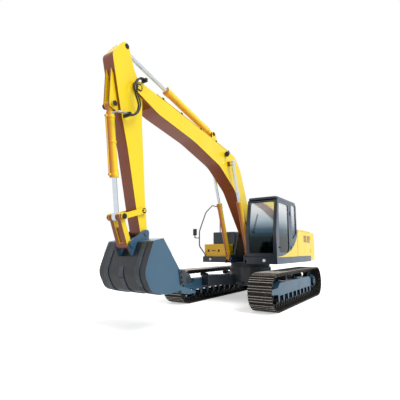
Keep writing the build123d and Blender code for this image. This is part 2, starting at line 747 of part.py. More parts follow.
with BuildPart() as cab_frame:
    side_plate(cab_outline(0), [30, 700, 80, 80, 30], CAB_INNER, CAB_OUTER)
    side_plate(
        cab_outline(CAB_WALL),
        [20, 650, 50, 50, 20],
        CAB_INNER + CAB_WALL,
        CAB_OUTER - CAB_WALL,
        mode=Mode.SUBTRACT,
    )
    # Windscreen
    block(
        CAB_INNER + 85,
        CAB_OUTER - 85,
        CAB_FRONT - 60,
        SCREEN_TOP + 80,
        CAB_LOW + 90,
        ROOF_LOW - 75,
        mode=Mode.SUBTRACT,
    )
    # Door opening, a little smaller than the door's own gap all round
    side_plate(
        [
            (DOOR_FRONT, DOOR_LOW),
            (DOOR_REAR, DOOR_LOW),
            (DOOR_REAR, DOOR_HIGH),
            (DOOR_FRONT + 60, DOOR_HIGH),
            (DOOR_FRONT, SCREEN_KNEE),
        ],
        [40, 120, 60, 60, 200],
        CAB_OUTER - CAB_WALL - 5,
        CAB_OUTER + 5,
        mode=Mode.SUBTRACT,
    )
    # Quarter window behind the door
    side_plate(
        [(80, 1760), (CAB_REAR - 75, 1960), (CAB_REAR - 75, DOOR_HIGH - 25), (80, DOOR_HIGH - 25)],
        [60, 60, 60, 60],
        CAB_OUTER - CAB_WALL - 5,
        CAB_OUTER + 5,
        mode=Mode.SUBTRACT,
    )
    # Right side windows, towards the boom
    side_plate(
        [(-1110, 1640), (-250, 1640), (-250, DOOR_HIGH - 10), (-1010, DOOR_HIGH - 10)],
        [60, 60, 60, 60],
        CAB_INNER - 5,
        CAB_INNER + CAB_WALL + 5,
        mode=Mode.SUBTRACT,
    )
    side_plate(
        [(-130, 1640), (CAB_REAR - 75, 1760), (CAB_REAR - 75, DOOR_HIGH - 10), (-130, DOOR_HIGH - 10)],
        [60, 60, 60, 60],
        CAB_INNER - 5,
        CAB_INNER + CAB_WALL + 5,
        mode=Mode.SUBTRACT,
    )
    # Rear window
    block(
        CAB_INNER + 110,
        CAB_OUTER - 110,
        CAB_REAR - CAB_WALL - 5,
        CAB_REAR + 5,
        2140,
        ROOF_LOW - 110,
        mode=Mode.SUBTRACT,
    )
    for low in CAB_HINGES:
        upright(CAB_OUTER + HINGE_OUT, CAB_HINGE_Y, HINGE_BAR, low, low + HINGE_LENGTH)
save(cab_frame.part, "cab_frame")

with BuildPart() as cab_roof:
    top_plate(
        [
            (CAB_INNER + 5, SCREEN_TOP - 20),
            (CAB_OUTER - 5, SCREEN_TOP - 20),
            (CAB_OUTER - 5, CAB_REAR + 5),
            (CAB_INNER + 5, CAB_REAR + 5),
        ],
        [CAB_CORNER, CAB_CORNER, 70, 70],
        ROOF_LOW + SEAT_GAP,
        CAB_HIGH,
    )
    fillet(cab_roof.faces().sort_by(Axis.Z)[-1].edges(), radius=40)
save(cab_roof.part, "cab_roof")

DOOR_POINTS = [
    (DOOR_FRONT + DOOR_GAP, DOOR_LOW + DOOR_GAP),
    (DOOR_REAR - DOOR_GAP, DOOR_LOW + DOOR_GAP),
    (DOOR_REAR - DOOR_GAP, DOOR_HIGH - DOOR_GAP),
    (DOOR_FRONT + 60 + DOOR_GAP, DOOR_HIGH - DOOR_GAP),
    (DOOR_FRONT + DOOR_GAP, SCREEN_KNEE),
]
DOOR_GLASS_POINTS = [
    (DOOR_FRONT + 75, DOOR_LOW + 75),
    (DOOR_REAR - 150, DOOR_LOW + 75),
    (DOOR_REAR - 150, DOOR_HIGH - 75),
    (DOOR_FRONT + 125, DOOR_HIGH - 75),
    (DOOR_FRONT + 75, SCREEN_KNEE),
]
with BuildPart() as cab_door:
    side_plate(DOOR_POINTS, [35, 115, 55, 55, 200], CAB_OUTER - CAB_WALL, CAB_OUTER - 2)
    side_plate(
        DOOR_GLASS_POINTS,
        [60, 200, 60, 60, 150],
        CAB_OUTER - CAB_WALL - 5,
        CAB_OUTER + 5,
        mode=Mode.SUBTRACT,
    )
    for low in CAB_HINGES:
        x = CAB_OUTER + HINGE_OUT
        upright(x, CAB_HINGE_Y, HINGE_BAR + SEAT_GAP, low - 5, low + HINGE_LENGTH + 5, mode=Mode.SUBTRACT)
save(cab_door.part, "cab_door")

GLASS_X = CAB_OUTER - CAB_WALL / 2
with BuildPart() as door_glass:
    side_plate(DOOR_GLASS_POINTS, [60, 200, 60, 60, 150], GLASS_X - GLASS / 2, GLASS_X + GLASS / 2)
save(door_glass.part, "door_glass")

with BuildPart() as cab_windows:
    side_plate(
        [(80, 1760), (CAB_REAR - 75, 1960), (CAB_REAR - 75, DOOR_HIGH - 25), (80, DOOR_HIGH - 25)],
        [60, 60, 60, 60],
        GLASS_X - GLASS / 2,
        GLASS_X + GLASS / 2,
    )
    side_plate(
        [(-1110, 1640), (-250, 1640), (-250, DOOR_HIGH - 10), (-1010, DOOR_HIGH - 10)],
        [60, 60, 60, 60],
        CAB_INNER + CAB_WALL / 2 - GLASS / 2,
        CAB_INNER + CAB_WALL / 2 + GLASS / 2,
    )
    side_plate(
        [(-130, 1640), (CAB_REAR - 75, 1760), (CAB_REAR - 75, DOOR_HIGH - 10), (-130, DOOR_HIGH - 10)],
        [60, 60, 60, 60],
        CAB_INNER + CAB_WALL / 2 - GLASS / 2,
        CAB_INNER + CAB_WALL / 2 + GLASS / 2,
    )
    block(CAB_INNER + 110, CAB_OUTER - 110, CAB_REAR - 29, CAB_REAR - 21, 2140, ROOF_LOW - 110)
save(cab_windows.part, "cab_windows")

with BuildPart() as windscreen:
    side_plate(cab_outline(20), [25, 680, 70, 70, 25], CAB_INNER + 85, CAB_OUTER - 85)
    side_plate(cab_outline(28), [25, 672, 65, 65, 25], CAB_INNER + 80, CAB_OUTER - 80, mode=Mode.SUBTRACT)
    block(CAB_INNER, CAB_OUTER, SCREEN_TOP + 80, CAB_REAR + 10, CAB_LOW - 10, CAB_HIGH, mode=Mode.SUBTRACT)
    block(
        CAB_INNER, CAB_OUTER, CAB_FRONT - 60, SCREEN_TOP + 90, CAB_LOW - 10, CAB_LOW + 90, mode=Mode.SUBTRACT,
    )
    block(CAB_INNER, CAB_OUTER, CAB_FRONT - 60, SCREEN_TOP + 90, ROOF_LOW - 75, CAB_HIGH, mode=Mode.SUBTRACT)
save(windscreen.part, "windscreen")

# The operator's chair and control consoles inside the cab
SEAT_X = (CAB_INNER + CAB_OUTER) / 2
CAB_FLOOR = CAB_LOW + CAB_WALL
with BuildPart() as seat:
    block(SEAT_X - 150, SEAT_X + 150, -330, 50, CAB_FLOOR, CAB_FLOOR + 330)
    block(SEAT_X - 250, SEAT_X + 250, -480, 60, CAB_FLOOR + 329, CAB_FLOOR + 470)
    side_plate(
        [
            (-20, CAB_FLOOR + 460),
            (110, CAB_FLOOR + 460),
            (230, CAB_FLOOR + 1120),
            (120, CAB_FLOOR + 1120),
        ],
        [20, 20, 40, 40],
        SEAT_X - 230,
        SEAT_X + 230,
    )
save(seat.part, "seat")

with BuildPart() as consoles:
    for side in (-1, 1):
        middle = SEAT_X + side * 315
        block(middle - 55, middle + 55, -420, 20, CAB_FLOOR, CAB_FLOOR + 560)
        upright(middle, -370, 14, CAB_FLOOR + 559, CAB_FLOOR + 760)
    for side in (-1, 1):
        upright(SEAT_X + side * 90, -820, 12, CAB_FLOOR, CAB_FLOOR + 760)
save(consoles.part, "consoles")

# Boom: a hollow box with a fork at its nose
NOSE_BOSS = 130
FORK_DEPTH = 385
with BuildPart() as boom:
    boom_points = [
        (ARM_PIN[0] + 40, ARM_PIN[1] + NOSE_BOSS),
        (-3430, 4440),
        (-1330, 4165),
        (-960, 3790),
        (FOOT[0] + 105, FOOT[1] + 60),
        (FOOT[0], FOOT[1] - 115),
        (FOOT[0] - 120, FOOT[1] + 20),
        (-1340, 3150),
        (-2190, 3690),
        (-3430, 4020),
        (-4720, 4215),
        (ARM_PIN[0] + 20, ARM_PIN[1] - NOSE_BOSS),
        (ARM_PIN[0] - NOSE_BOSS, ARM_PIN[1] - 60),
        (ARM_PIN[0] - NOSE_BOSS, ARM_PIN[1] + 80),
    ]
    boom_radii = [200, 3000, 320, 500, 90, 60, 90, 700, 1200, 2500, 800, 80, 70, 70]
    side_plate(boom_points, boom_radii, -BOOM_HALF, BOOM_HALF)
    # Hollow inside between the bulkheads
    side_plate(
        [
            (-4700, 4530),
            (-3430, 4440 - PLATE),
            (-1340, 4165 - PLATE - 4),
            (-985, 3770),
            (-470, 2560),
            (-620, 2400),
            (-1330, 3175),
            (-2180, 3710),
            (-3430, 4020 + PLATE + 6),
            (-4650, 4235),
        ],
        [0, 2900, 300, 450, 20, 20, 650, 1150, 2400, 0],
        -BOOM_HALF + PLATE,
        BOOM_HALF - PLATE,
        mode=Mode.SUBTRACT,
    )
    # Fork for the arm
    side_plate(
        [
            (ARM_PIN[0] - 400, ARM_PIN[1] + 400),
            (ARM_PIN[0] + FORK_DEPTH, ARM_PIN[1] + 400),
            (ARM_PIN[0] + FORK_DEPTH, ARM_PIN[1] - 400),
            (ARM_PIN[0] - 400, ARM_PIN[1] - 400),
        ],
        [0, 0, 0, 0],
        -NOSE_INNER,
        NOSE_INNER,
        mode=Mode.SUBTRACT,
    )
    # Ears for the arm cylinder's base on top of the boom
    for side in (-1, 1):
        side_plate(
            [
                (ARM_CYLINDER_BASE[0] - 110, 4260),
                (ARM_CYLINDER_BASE[0] + 300, 4210),
                (ARM_CYLINDER_BASE[0] + 75, ARM_CYLINDER_BASE[1] + 60),
                (ARM_CYLINDER_BASE[0] - 75, ARM_CYLINDER_BASE[1] + 60),
            ],
            [0, 0, 60, 60],
            side * (EYE_HALF + SIDE_GAP),
            side * (EYE_HALF + SIDE_GAP + 34),
        )
        cross_pin(BOOM_CYLINDER_HEAD, 80, side * (BOOM_HALF - 1), side * (EYE_IN - SIDE_GAP))
        cross_pin(FOOT, FOOT_PIN, side * (BOOM_HALF - 1), side * (WEB_OUTER + 6))
    cross_pin(ARM_PIN, 52 + PIN_GAP, -BOOM_HALF - 5, BOOM_HALF + 5, mode=Mode.SUBTRACT)
    cross_pin(ARM_CYLINDER_BASE, 40 + PIN_GAP, -EYE_HALF - 60, EYE_HALF + 60, mode=Mode.SUBTRACT)
save(boom.part, "boom")

# Arm: a hollow box with the arm cylinder's fork on top and the bucket cylinder's in front
TIP_BOSS = 85
SLOT_FLOOR = 4970
with BuildPart() as arm:
    arm_points = [
        (-5690, 5310),
        (-5560, 5330),
        (-5520, 5200),
        (-5400, 4900),
        (ARM_PIN[0] + 145, ARM_PIN[1]),
        (-5140, 3900),
        (-4985, 2300),
        (TIP[0] + TIP_BOSS, TIP[1] + 40),
        (TIP[0] + 40, TIP[1] - TIP_BOSS),
        (TIP[0] - TIP_BOSS, TIP[1] - 30),
        (-5230, 2250),
        (-5480, 3260),
        (-5700, 3990),
        (-5940, 4950),
    ]
    arm_radii = [60, 70, 60, 200, 130, 400, 400, 60, 60, 60, 400, 900, 600, 150]
    side_plate(arm_points, arm_radii, -ARM_HALF, ARM_HALF)
    side_plate(
        [
            (-5560, 4780),
            (-5190, 4380),
            (-5155, 3895),
            (-5005, 2330),
            (-5195, 2330),
            (-5460, 3265),
            (-5680, 3995),
            (-5760, 4450),
        ],
        [40, 60, 380, 20, 20, 880, 580, 60],
        -ARM_HALF + PLATE,
        ARM_HALF - PLATE,
        mode=Mode.SUBTRACT,
    )
    # Slot for the arm cylinder's rod eye, deep enough for the eye to leave its pin's path
    side_plate(
        [(-5760, 5400), (-5380, 5400), (-5380, SLOT_FLOOR), (-5760, SLOT_FLOOR)],
        [0, 0, 0, 0],
        -EYE_HALF - SIDE_GAP,
        EYE_HALF + SIDE_GAP,
        mode=Mode.SUBTRACT,
    )
    for side in (-1, 1):
        side_plate(
            [
                (-5905, 4700),
                (-5700, 4300),
                (-5680, 3930),
                (BUCKET_CYLINDER_BASE[0] + 30, BUCKET_CYLINDER_BASE[1] - 90),
                (BUCKET_CYLINDER_BASE[0] - 80, BUCKET_CYLINDER_BASE[1] - 60),
            ],
            [0, 0, 0, 50, 70],
            side * (EYE_HALF + SIDE_GAP),
            side * (EYE_HALF + SIDE_GAP + 26),
        )
        cross_pin(ARM_PIN, 52, side * (ARM_HALF - 1), side * (BOOM_HALF + 12))
        cross_pin(IDLER_PIN, 36, side * (ARM_HALF - 1), side * (BUCKET_EAR_INNER + EAR + 6))
        cross_pin(ARM_PIN, 120, side * (ARM_HALF - 1), side * (NOSE_INNER - 5))
    cross_pin(TIP, 42 + PIN_GAP, -ARM_HALF - 5, ARM_HALF + 5, mode=Mode.SUBTRACT)
    cross_pin(BUCKET_CYLINDER_BASE, 36 + PIN_GAP, -EYE_HALF - 60, EYE_HALF + 60, mode=Mode.SUBTRACT)
save(arm.part, "arm")


def make_cylinder(start, end, x, sizes, pin, pin_reach, retracted, name):
    """A hydraulic cylinder's barrel with its base eye, and its rod with its head eye."""
    outer, rod, length = sizes
    axis = between(start, end, x)
    reach = distance(start, end)
    with BuildPart() as barrel:
        bar_on(axis, EYE_HALF, pin, NECK_END)
        bar_on(axis, outer, NECK_END, length - 150)
        bar_on(axis, outer + 9, length - 150, length)
        bar_on(axis, outer - BARREL_BORE_WALL, CAVITY_START, length - 60, mode=Mode.SUBTRACT)
        bar_on(axis, rod + PIN_GAP, length - 70, length + 10, mode=Mode.SUBTRACT)
        cross_pin(start, pin + 38, x - EYE_HALF, x + EYE_HALF)
        cross_pin(start, pin, x - pin_reach, x + pin_reach)
    save(barrel.part, name + "_barrel")
    with BuildPart() as rod_part:
        bar_on(axis, rod, CAVITY_START + retracted + 15, reach - 30)
        cross_pin(end, rod + 36, x - EYE_HALF, x + EYE_HALF)
    save(rod_part.part, name + "_rod")


for name, side in (("left", 1), ("right", -1)):
    make_cylinder(
        BOOM_CYLINDER_BASE,
        BOOM_CYLINDER_HEAD,
        side * BOOM_CYLINDER_X,
        BOOM_CYLINDER,
        BASE_PIN,
        EYE_HALF + SIDE_GAP + 34,
        1020,
        "boom_cylinder_" + name,
    )
make_cylinder(
    ARM_CYLINDER_BASE, ARM_CYLINDER_HEAD, 0, ARM_CYLINDER, 40, EYE_HALF + SIDE_GAP + 40, 1120, "arm_cylinder",
)
make_cylinder(
    BUCKET_CYLINDER_BASE, LINK_PIN, 0, BUCKET_CYLINDER, 36, EYE_HALF + SIDE_GAP + 32, 520, "bucket_cylinder"
)

# Bucket linkage: two idler links outside the arm and an H-shaped link to the bucket
LINK_BAR = 52
LINK_STUB = 34
with BuildPart() as idler_links:
    link = between(IDLER_PIN, LINK_PIN, 0)
    for side in (-1, 1):
        inner = side * BUCKET_EAR_INNER
        outer = side * (BUCKET_EAR_INNER + 34)
        run = distance(IDLER_PIN, LINK_PIN)
        unit = ((LINK_PIN[0] - IDLER_PIN[0]) / run, (LINK_PIN[1] - IDLER_PIN[1]) / run)
        normal = (-unit[1] * LINK_BAR, unit[0] * LINK_BAR)
        side_plate(
            [
                (IDLER_PIN[0] + normal[0], IDLER_PIN[1] + normal[1]),
                (LINK_PIN[0] + normal[0], LINK_PIN[1] + normal[1]),
                (LINK_PIN[0] - normal[0], LINK_PIN[1] - normal[1]),
                (IDLER_PIN[0] - normal[0], IDLER_PIN[1] - normal[1]),
            ],
            [0, 0, 0, 0],
            inner,
            outer,
        )
        cross_pin(IDLER_PIN, 70, inner, outer)
        cross_pin(LINK_PIN, 66, inner, outer)
        cross_pin(LINK_PIN, LINK_STUB, side * (EYE_HALF + SIDE_GAP), side * (BUCKET_EAR_INNER + 50))
        cross_pin(IDLER_PIN, 36 + PIN_GAP, inner - side * 5, outer + side * 5, mode=Mode.SUBTRACT)
save(idler_links.part, "idler_links")

with BuildPart() as h_link:
    run = distance(LINK_PIN, BUCKET_PIN)
    unit = ((BUCKET_PIN[0] - LINK_PIN[0]) / run, (BUCKET_PIN[1] - LINK_PIN[1]) / run)
    normal = (-unit[1] * LINK_BAR, unit[0] * LINK_BAR)
    for side in (-1, 1):
        inner = side * (EYE_HALF + SIDE_GAP)
        outer = side * ARM_HALF
        side_plate(
            [
                (LINK_PIN[0] + normal[0], LINK_PIN[1] + normal[1]),
                (BUCKET_PIN[0] + normal[0], BUCKET_PIN[1] + normal[1]),
                (BUCKET_PIN[0] - normal[0], BUCKET_PIN[1] - normal[1]),
                (LINK_PIN[0] - normal[0], LINK_PIN[1] - normal[1]),
            ],
            [0, 0, 0, 0],
            inner,
            outer,
        )
        cross_pin(LINK_PIN, 66, inner, outer)
        cross_pin(LINK_PIN, LINK_STUB + PIN_GAP, inner - side * 5, outer + side * 5, mode=Mode.SUBTRACT)
    cross_pin(BUCKET_PIN, 62, -ARM_HALF, ARM_HALF)
    web = between(LINK_PIN, BUCKET_PIN, 0)
    with BuildSketch(web.offset(190)) as cross_web:
        Rectangle(2 * EYE_HALF + 2 * SIDE_GAP + 4, LINK_BAR)
    extrude(cross_web.sketch, amount=run - 190)
save(h_link.part, "h_link")

# Bucket: a curved shell between two side plates, with ears for its two pins
BUCKET_POINTS = [
    (-4955, 1665),
    (-5215, 1615),
    (-5320, 1360),
    (-5430, 1060),
    (-5250, 740),
    (-4850, 660),
    (-4380, 700),
    (-4365, 740),
    (-4420, 1050),
]
# The H-shaped link's foot swings close to the bucket's back, which is set in between the ears
RECESS_POINTS = [(-5205, 1660), (-5172, 1597), (-5277, 1342), (-5350, 1342), (-5350, 1660)]
PAD_POINTS = [(-5200, 1600), (-5150, 1590), (-5250, 1345), (-5310, 1300)]
with BuildPart() as bucket:
    side_plate(BUCKET_POINTS, [0, 60, 400, 260, 260, 400, 0, 0, 100], -BUCKET_HALF, BUCKET_HALF)
    side_plate(
        [
            (-4935, 1635),
            (-5197, 1592),
            (-5296, 1350),
            (-5402, 1060),
            (-5237, 763),
            (-4850, 686),
            (-4340, 728),
            (-4200, 1200),
            (-4700, 1800),
        ],
        [0, 40, 380, 235, 235, 380, 0, 0, 0],
        -BUCKET_HALF + BUCKET_SHELL,
        BUCKET_HALF - BUCKET_SHELL,
        mode=Mode.SUBTRACT,
    )
    side_plate(PAD_POINTS, [0, 0, 0, 0], -BUCKET_EAR_INNER - EAR, BUCKET_EAR_INNER + EAR)
    side_plate(RECESS_POINTS, [0, 0, 0, 0, 0], -BUCKET_EAR_INNER, BUCKET_EAR_INNER, mode=Mode.SUBTRACT)
    for side in (-1, 1):
        inner = side * BUCKET_EAR_INNER
        outer = side * (BUCKET_EAR_INNER + EAR)
        side_plate(
            [
                (TIP[0] + 88, TIP[1] + 20),
                (-4920, 1640),
                (-5205, 1600),
                (-5330, 1340),
                (BUCKET_PIN[0] - 78, BUCKET_PIN[1] - 50),
                (BUCKET_PIN[0] - 36, BUCKET_PIN[1] + 53),
                (TIP[0] - 36, TIP[1] + 63),
                (TIP[0] + 60, TIP[1] + 72),
            ],
            [40, 0, 0, 0, 50, 60, 50, 60],
            inner,
            outer,
        )
        cross_pin(BUCKET_PIN, 45, outer - side * 1, outer + side * 22)
        cross_pin(TIP, 50, outer - side * 1, outer + side * 22)
    cross_pin(TIP, 42, -BUCKET_EAR_INNER - 1, BUCKET_EAR_INNER + 1)
save(bucket.part, "bucket")

TOOTH_COUNT = 5
TOOTH_WIDTH = 85
LIP_SLOPE = (728 - 686) / (4850 - 4340)
LIP_EDGE = -4366
TONGUE = 134


def lip_top(y):
    """Height of the bucket floor's inner face."""
    return 686 + LIP_SLOPE * (y + 4850) + SEAT_GAP


with BuildPart() as bucket_teeth:
    for number in range(TOOTH_COUNT):
        span = BUCKET_WIDTH - 2 * BUCKET_SHELL - TOOTH_WIDTH - 4
        middle = (number / (TOOTH_COUNT - 1) - 0.5) * span
        side_plate(
            [
                (LIP_EDGE - TONGUE, lip_top(LIP_EDGE - TONGUE)),
                (LIP_EDGE - TONGUE, 750),
                (LIP_EDGE, 778),
                (-4110, 700),
                (-3870, 622),
                (-3875, 604),
                (-4100, 592),
                (LIP_EDGE + 10, 640),
                (LIP_EDGE, lip_top(LIP_EDGE)),
            ],
            [0] * 9,
            middle - TOOTH_WIDTH / 2,
            middle + TOOTH_WIDTH / 2,
        )
save(bucket_teeth.part, "bucket_teeth")

# Handrail and mirror on the right platform, lamps and exhaust
RAIL_X = -UPPER_HALF + 60
RAIL_TUBE = 17
with BuildPart() as handrail:
    with BuildLine() as rail_path:
        FilletPolyline(
            (RAIL_X, PLATFORM_FRONT + 28, DECK_HIGH + SEAT_GAP),
            (RAIL_X, PLATFORM_FRONT + 28, DECK_HIGH + 70),
            (RAIL_X, -950, 1600),
            (RAIL_X, -950, 2060),
            (RAIL_X, -560, 2700),
            (RAIL_X, -150, 2980),
            (RAIL_X, 380, 2980),
            (RAIL_X, 380, TANK_HIGH + SEAT_GAP),
            radius=[50, 140, 300, 300, 200, 120],
        )
    with BuildSketch(Plane(origin=rail_path.line @ 0, z_dir=rail_path.line % 0)):
        Circle(RAIL_TUBE)
    sweep()
save(handrail.part, "handrail")

with BuildPart() as mirror:
    block(RAIL_X - 60, RAIL_X + 60, -1215, -1185, 1920, 2120)
    block(RAIL_X - 12, RAIL_X + 12, -1200, -950 - RAIL_TUBE - 0.3, 1835, 1859)
    block(RAIL_X - 12, RAIL_X + 12, -1212, -1188, 1835, 1921)
save(mirror.part, "mirror")

with BuildPart() as front_lamps:
    for x, front in ((990, CAB_FRONT), (-1060, PLATFORM_FRONT)):
        with BuildSketch(Plane.XZ.offset(-front + SEAT_GAP)) as lens:
            with Locations((x, 1190)):
                Circle(38)
        extrude(lens.sketch, amount=30)
save(front_lamps.part, "front_lamps")

with BuildPart() as boom_lamp:
    block(BOOM_HALF + SEAT_GAP, BOOM_HALF + 70, -1900, -1850, 4030, 4060)
    with BuildSketch(Plane.XZ.offset(1900)) as lamp_body:
        with Locations((BOOM_HALF + 75, 4085)):
            Circle(62)
    extrude(lamp_body.sketch, amount=60)
    block(BOOM_HALF + 45, BOOM_HALF + 70, -1905, -1850, 4050, 4080)
save(boom_lamp.part, "boom_lamp")

with BuildPart() as exhaust:
    upright(EXHAUST_X, 1150, 60, BODY_HIGH + SEAT_GAP, BODY_HIGH + 210)
    with BuildSketch(Plane.XZ.offset(-1110)) as elbow:
        with Locations((EXHAUST_X, BODY_HIGH + 190)):
            Circle(70)
    extrude(elbow.sketch, amount=-200)
save(exhaust.part, "exhaust")
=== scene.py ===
"""Finishes of a crawler excavator: paints, glass, track shoes, trim and a plain studio."""

import math

import bmesh
import bpy
from mathutils import Matrix, Vector


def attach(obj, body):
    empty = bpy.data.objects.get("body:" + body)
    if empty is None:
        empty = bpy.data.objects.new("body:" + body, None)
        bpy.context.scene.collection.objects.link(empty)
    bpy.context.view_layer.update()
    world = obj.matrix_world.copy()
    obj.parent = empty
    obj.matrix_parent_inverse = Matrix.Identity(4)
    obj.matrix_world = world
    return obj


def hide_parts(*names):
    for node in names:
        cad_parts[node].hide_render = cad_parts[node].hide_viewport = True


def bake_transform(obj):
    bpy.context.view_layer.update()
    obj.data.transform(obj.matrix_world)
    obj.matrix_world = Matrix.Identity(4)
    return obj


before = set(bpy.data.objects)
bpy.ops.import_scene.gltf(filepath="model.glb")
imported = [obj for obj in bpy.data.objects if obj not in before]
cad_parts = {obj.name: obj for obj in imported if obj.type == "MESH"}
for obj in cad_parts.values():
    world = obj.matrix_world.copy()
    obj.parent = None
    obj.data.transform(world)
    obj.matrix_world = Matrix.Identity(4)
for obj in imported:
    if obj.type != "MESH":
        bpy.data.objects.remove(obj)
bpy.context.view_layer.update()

bl_info = {
    "name": "Crawler Excavator Finishes",
    "version": (1, 0, 0),
    "blender": (4, 5, 0),
    "location": "3D View > Sidebar > Excavator",
    "description": "Dresses the packed crawler excavator with paints, tracks, seals, bolts and a studio",
    "category": "Object",
}

# The machine's sizes in metres, as its solids have them
GAUGE = 2.56
SHOE_WIDTH = 0.6
TUMBLER_SPAN = 3.84
TRACK_HEIGHT = 0.914
SHOE_COUNT = 52
SHOE_PLATE = 0.012
GROUSER = 0.026
LINK_HEIGHT = 0.1
LINK_WIDTH = 0.045
LINK_GAP = 0.07
PITCH_RADIUS = TRACK_HEIGHT / 2 - GROUSER - SHOE_PLATE - LINK_HEIGHT / 2
LOOP_LENGTH = 2 * TUMBLER_SPAN + 2 * math.pi * PITCH_RADIUS
PITCH = LOOP_LENGTH / SHOE_COUNT
UPPER_HALF = 1.35
BUCKET_EAR = 0.189
BOOM_CYLINDER_X = 0.325
GROUSER_COUNT = 3

# Pins as (y, z)
ARM_PIN = (-5.30, 4.54)
TIP_PIN = (-5.00, 1.76)
BUCKET_PIN = (-5.36, 1.54)
IDLER_PIN = (-5.06, 2.18)
LINK_PIN = (-5.56, 2.03)
BOOM_CYLINDER_BASE = (-0.812, 1.22)
BOOM_CYLINDER_HEAD = (-1.72, 3.865)
ARM_CYLINDER_BASE = (-2.33, 4.565)
ARM_CYLINDER_HEAD = (-5.60, 5.26)
BUCKET_CYLINDER_BASE = (-5.83, 4.02)

# Each barrel's body, its x, its foot's pin, its rod's pin, its outside radius and its length
CYLINDERS = (
    ("boom_barrel_left", BOOM_CYLINDER_X, BOOM_CYLINDER_BASE, BOOM_CYLINDER_HEAD, 0.072, 1.69),
    ("boom_barrel_right", -BOOM_CYLINDER_X, BOOM_CYLINDER_BASE, BOOM_CYLINDER_HEAD, 0.072, 1.69),
    ("arm_barrel", 0.0, ARM_CYLINDER_BASE, ARM_CYLINDER_HEAD, 0.082, 1.99),
    ("bucket_barrel", 0.0, BUCKET_CYLINDER_BASE, LINK_PIN, 0.072, 1.31),
)

# Camera, fitted to the photograph
CAMERA_PLACE = Vector((4.316, -9.453, 1.423))
CAMERA_YAW = -0.581
CAMERA_PITCH = 0.160
CAMERA_LENS = 28.8
CAMERA_SENSOR = 36.0


def linear(hex_code):
    """An sRGB hex colour as the linear red, green and blue that the shaders take."""
    values = [int(hex_code[place : place + 2], 16) / 255 for place in (1, 3, 5)]
    return [v / 12.92 if v <= 0.04045 else ((v + 0.055) / 1.055) ** 2.4 for v in values]


def rgba(colour):
    """A colour with a full alpha."""
    return (*tuple(colour)[:3], 1.0)


def colour_setting(label, words, hex_code):
    """A colour that the sidebar shows."""
    return bpy.props.FloatVectorProperty(
        name=label, description=words, subtype="COLOR", size=3, min=0, max=1, default=linear(hex_code)
    )


def length_setting(label, words, metres):
    """A length that the sidebar shows."""
    return bpy.props.FloatProperty(name=label, description=words, default=metres, min=0, unit="LENGTH")


class ExcavatorColours(bpy.types.PropertyGroup):
    """Colours of the paints and other finishes."""

    yellow: colour_setting("Yellow enamel", "Boom, arm, covers and counterweight", "#FCDB00")
    # Painted shade: this brown stands in for the shade on the boom's and arm's undersides and front faces,
    # and between the louvres' slats
    shade: colour_setting("Brown enamel", "Undersides and front faces of the boom and arm", "#80380F")
    # Painted shade: this orange stands in for the shade round the front sides of the cylinders
    painted_shade_orange: colour_setting("Amber enamel", "Front sides of the cylinders", "#D98A14")
    navy: colour_setting("Navy enamel", "Cab, deck skirt and tank", "#243F5A")
    slate: colour_setting("Slate enamel", "Bucket and undercarriage", "#375F79")
    shoe: colour_setting("Track steel", "Heat-treated track shoes", "#24211F")
    rubber: colour_setting("Black rubber", "Hoses and seals", "#121212")
    floor: colour_setting("Studio floor", "Plain pale floor", "#F4F4F4")


class ExcavatorSizes(bpy.types.PropertyGroup):
    """Sizes of the trim that is added to the solids."""

    bolt: length_setting("Bolt head", "Width of a bolt's head across its flats", 0.036)
    seal: length_setting("Window seal", "Thickness of the rubber round the windscreen", 0.016)
    hose: length_setting("Hose", "Outside diameter of a hydraulic hose", 0.032)


def feed(tree, node, links):
    """Give each named input of a node a value or the socket that feeds it."""
    for key, value in links.items():
        if isinstance(value, bpy.types.NodeSocket):
            tree.links.new(value, node.inputs[key])
        else:
            node.inputs[key].default_value = value


def add_node(tree, kind, links=None, **settings):
    """One node with its settings; links gives each input a value or the socket that feeds it."""
    made = tree.nodes.new(kind)
    for key, value in settings.items():
        setattr(made, key, value)
    feed(tree, made, links or {})
    return made


def new_finish(name):
    """An empty material with its shader, and the object's own coordinates."""
    finish = bpy.data.materials.new(name)
    finish.use_nodes = True
    tree = finish.node_tree
    tree.nodes.clear()
    shader = add_node(tree, "ShaderNodeBsdfPrincipled")
    output = add_node(tree, "ShaderNodeOutputMaterial")
    tree.links.new(shader.outputs["BSDF"], output.inputs["Surface"])
    place = add_node(tree, "ShaderNodeTexCoord")
    return finish, tree, shader, place


def spread(tree, value, low, high, to_low=0.0, to_high=1.0, smooth=False):
    """A value mapped from one range to another."""
    kind = "SMOOTHSTEP" if smooth else "LINEAR"
    links = {"Value": value, "From Min": low, "From Max": high, "To Min": to_low, "To Max": to_high}
    return add_node(tree, "ShaderNodeMapRange", links, interpolation_type=kind).outputs["Result"]


def blend_colour(tree, factor, one, two):
    """A mix of two colours or colour sockets."""
    mix = add_node(tree, "ShaderNodeMix", {"Factor": factor}, data_type="RGBA")
    for socket, value in ((mix.inputs[6], one), (mix.inputs[7], two)):
        if isinstance(value, bpy.types.NodeSocket):
            tree.links.new(value, socket)
        else:
            socket.default_value = rgba(value)
    return mix.outputs[2]


def reckon(tree, operation, one, two=0.0):
    """One sum of two values or sockets."""
    sum_node = add_node(tree, "ShaderNodeMath", operation=operation)
    for socket, value in zip(sum_node.inputs, (one, two)):
        if isinstance(value, bpy.types.NodeSocket):
            tree.links.new(value, socket)
        else:
            socket.default_value = value
    return sum_node.outputs[0]


def facing(tree, place, direction, low, high):
    """How far a face looks in one direction of the object's own frame, from 0 to 1."""
    links = {0: place.outputs["Normal"], 1: Vector(direction).normalized()}
    dot = add_node(tree, "ShaderNodeVectorMath", links, operation="DOT_PRODUCT")
    return spread(tree, dot.outputs["Value"], low, high, smooth=True)


def noise(tree, place, scale, detail=2.0):
    """Noise over a piece, on its own coordinates or on a socket's."""
    vector = place if isinstance(place, bpy.types.NodeSocket) else place.outputs["Object"]
    return add_node(tree, "ShaderNodeTexNoise", {"Vector": vector, "Scale": scale, "Detail": detail})


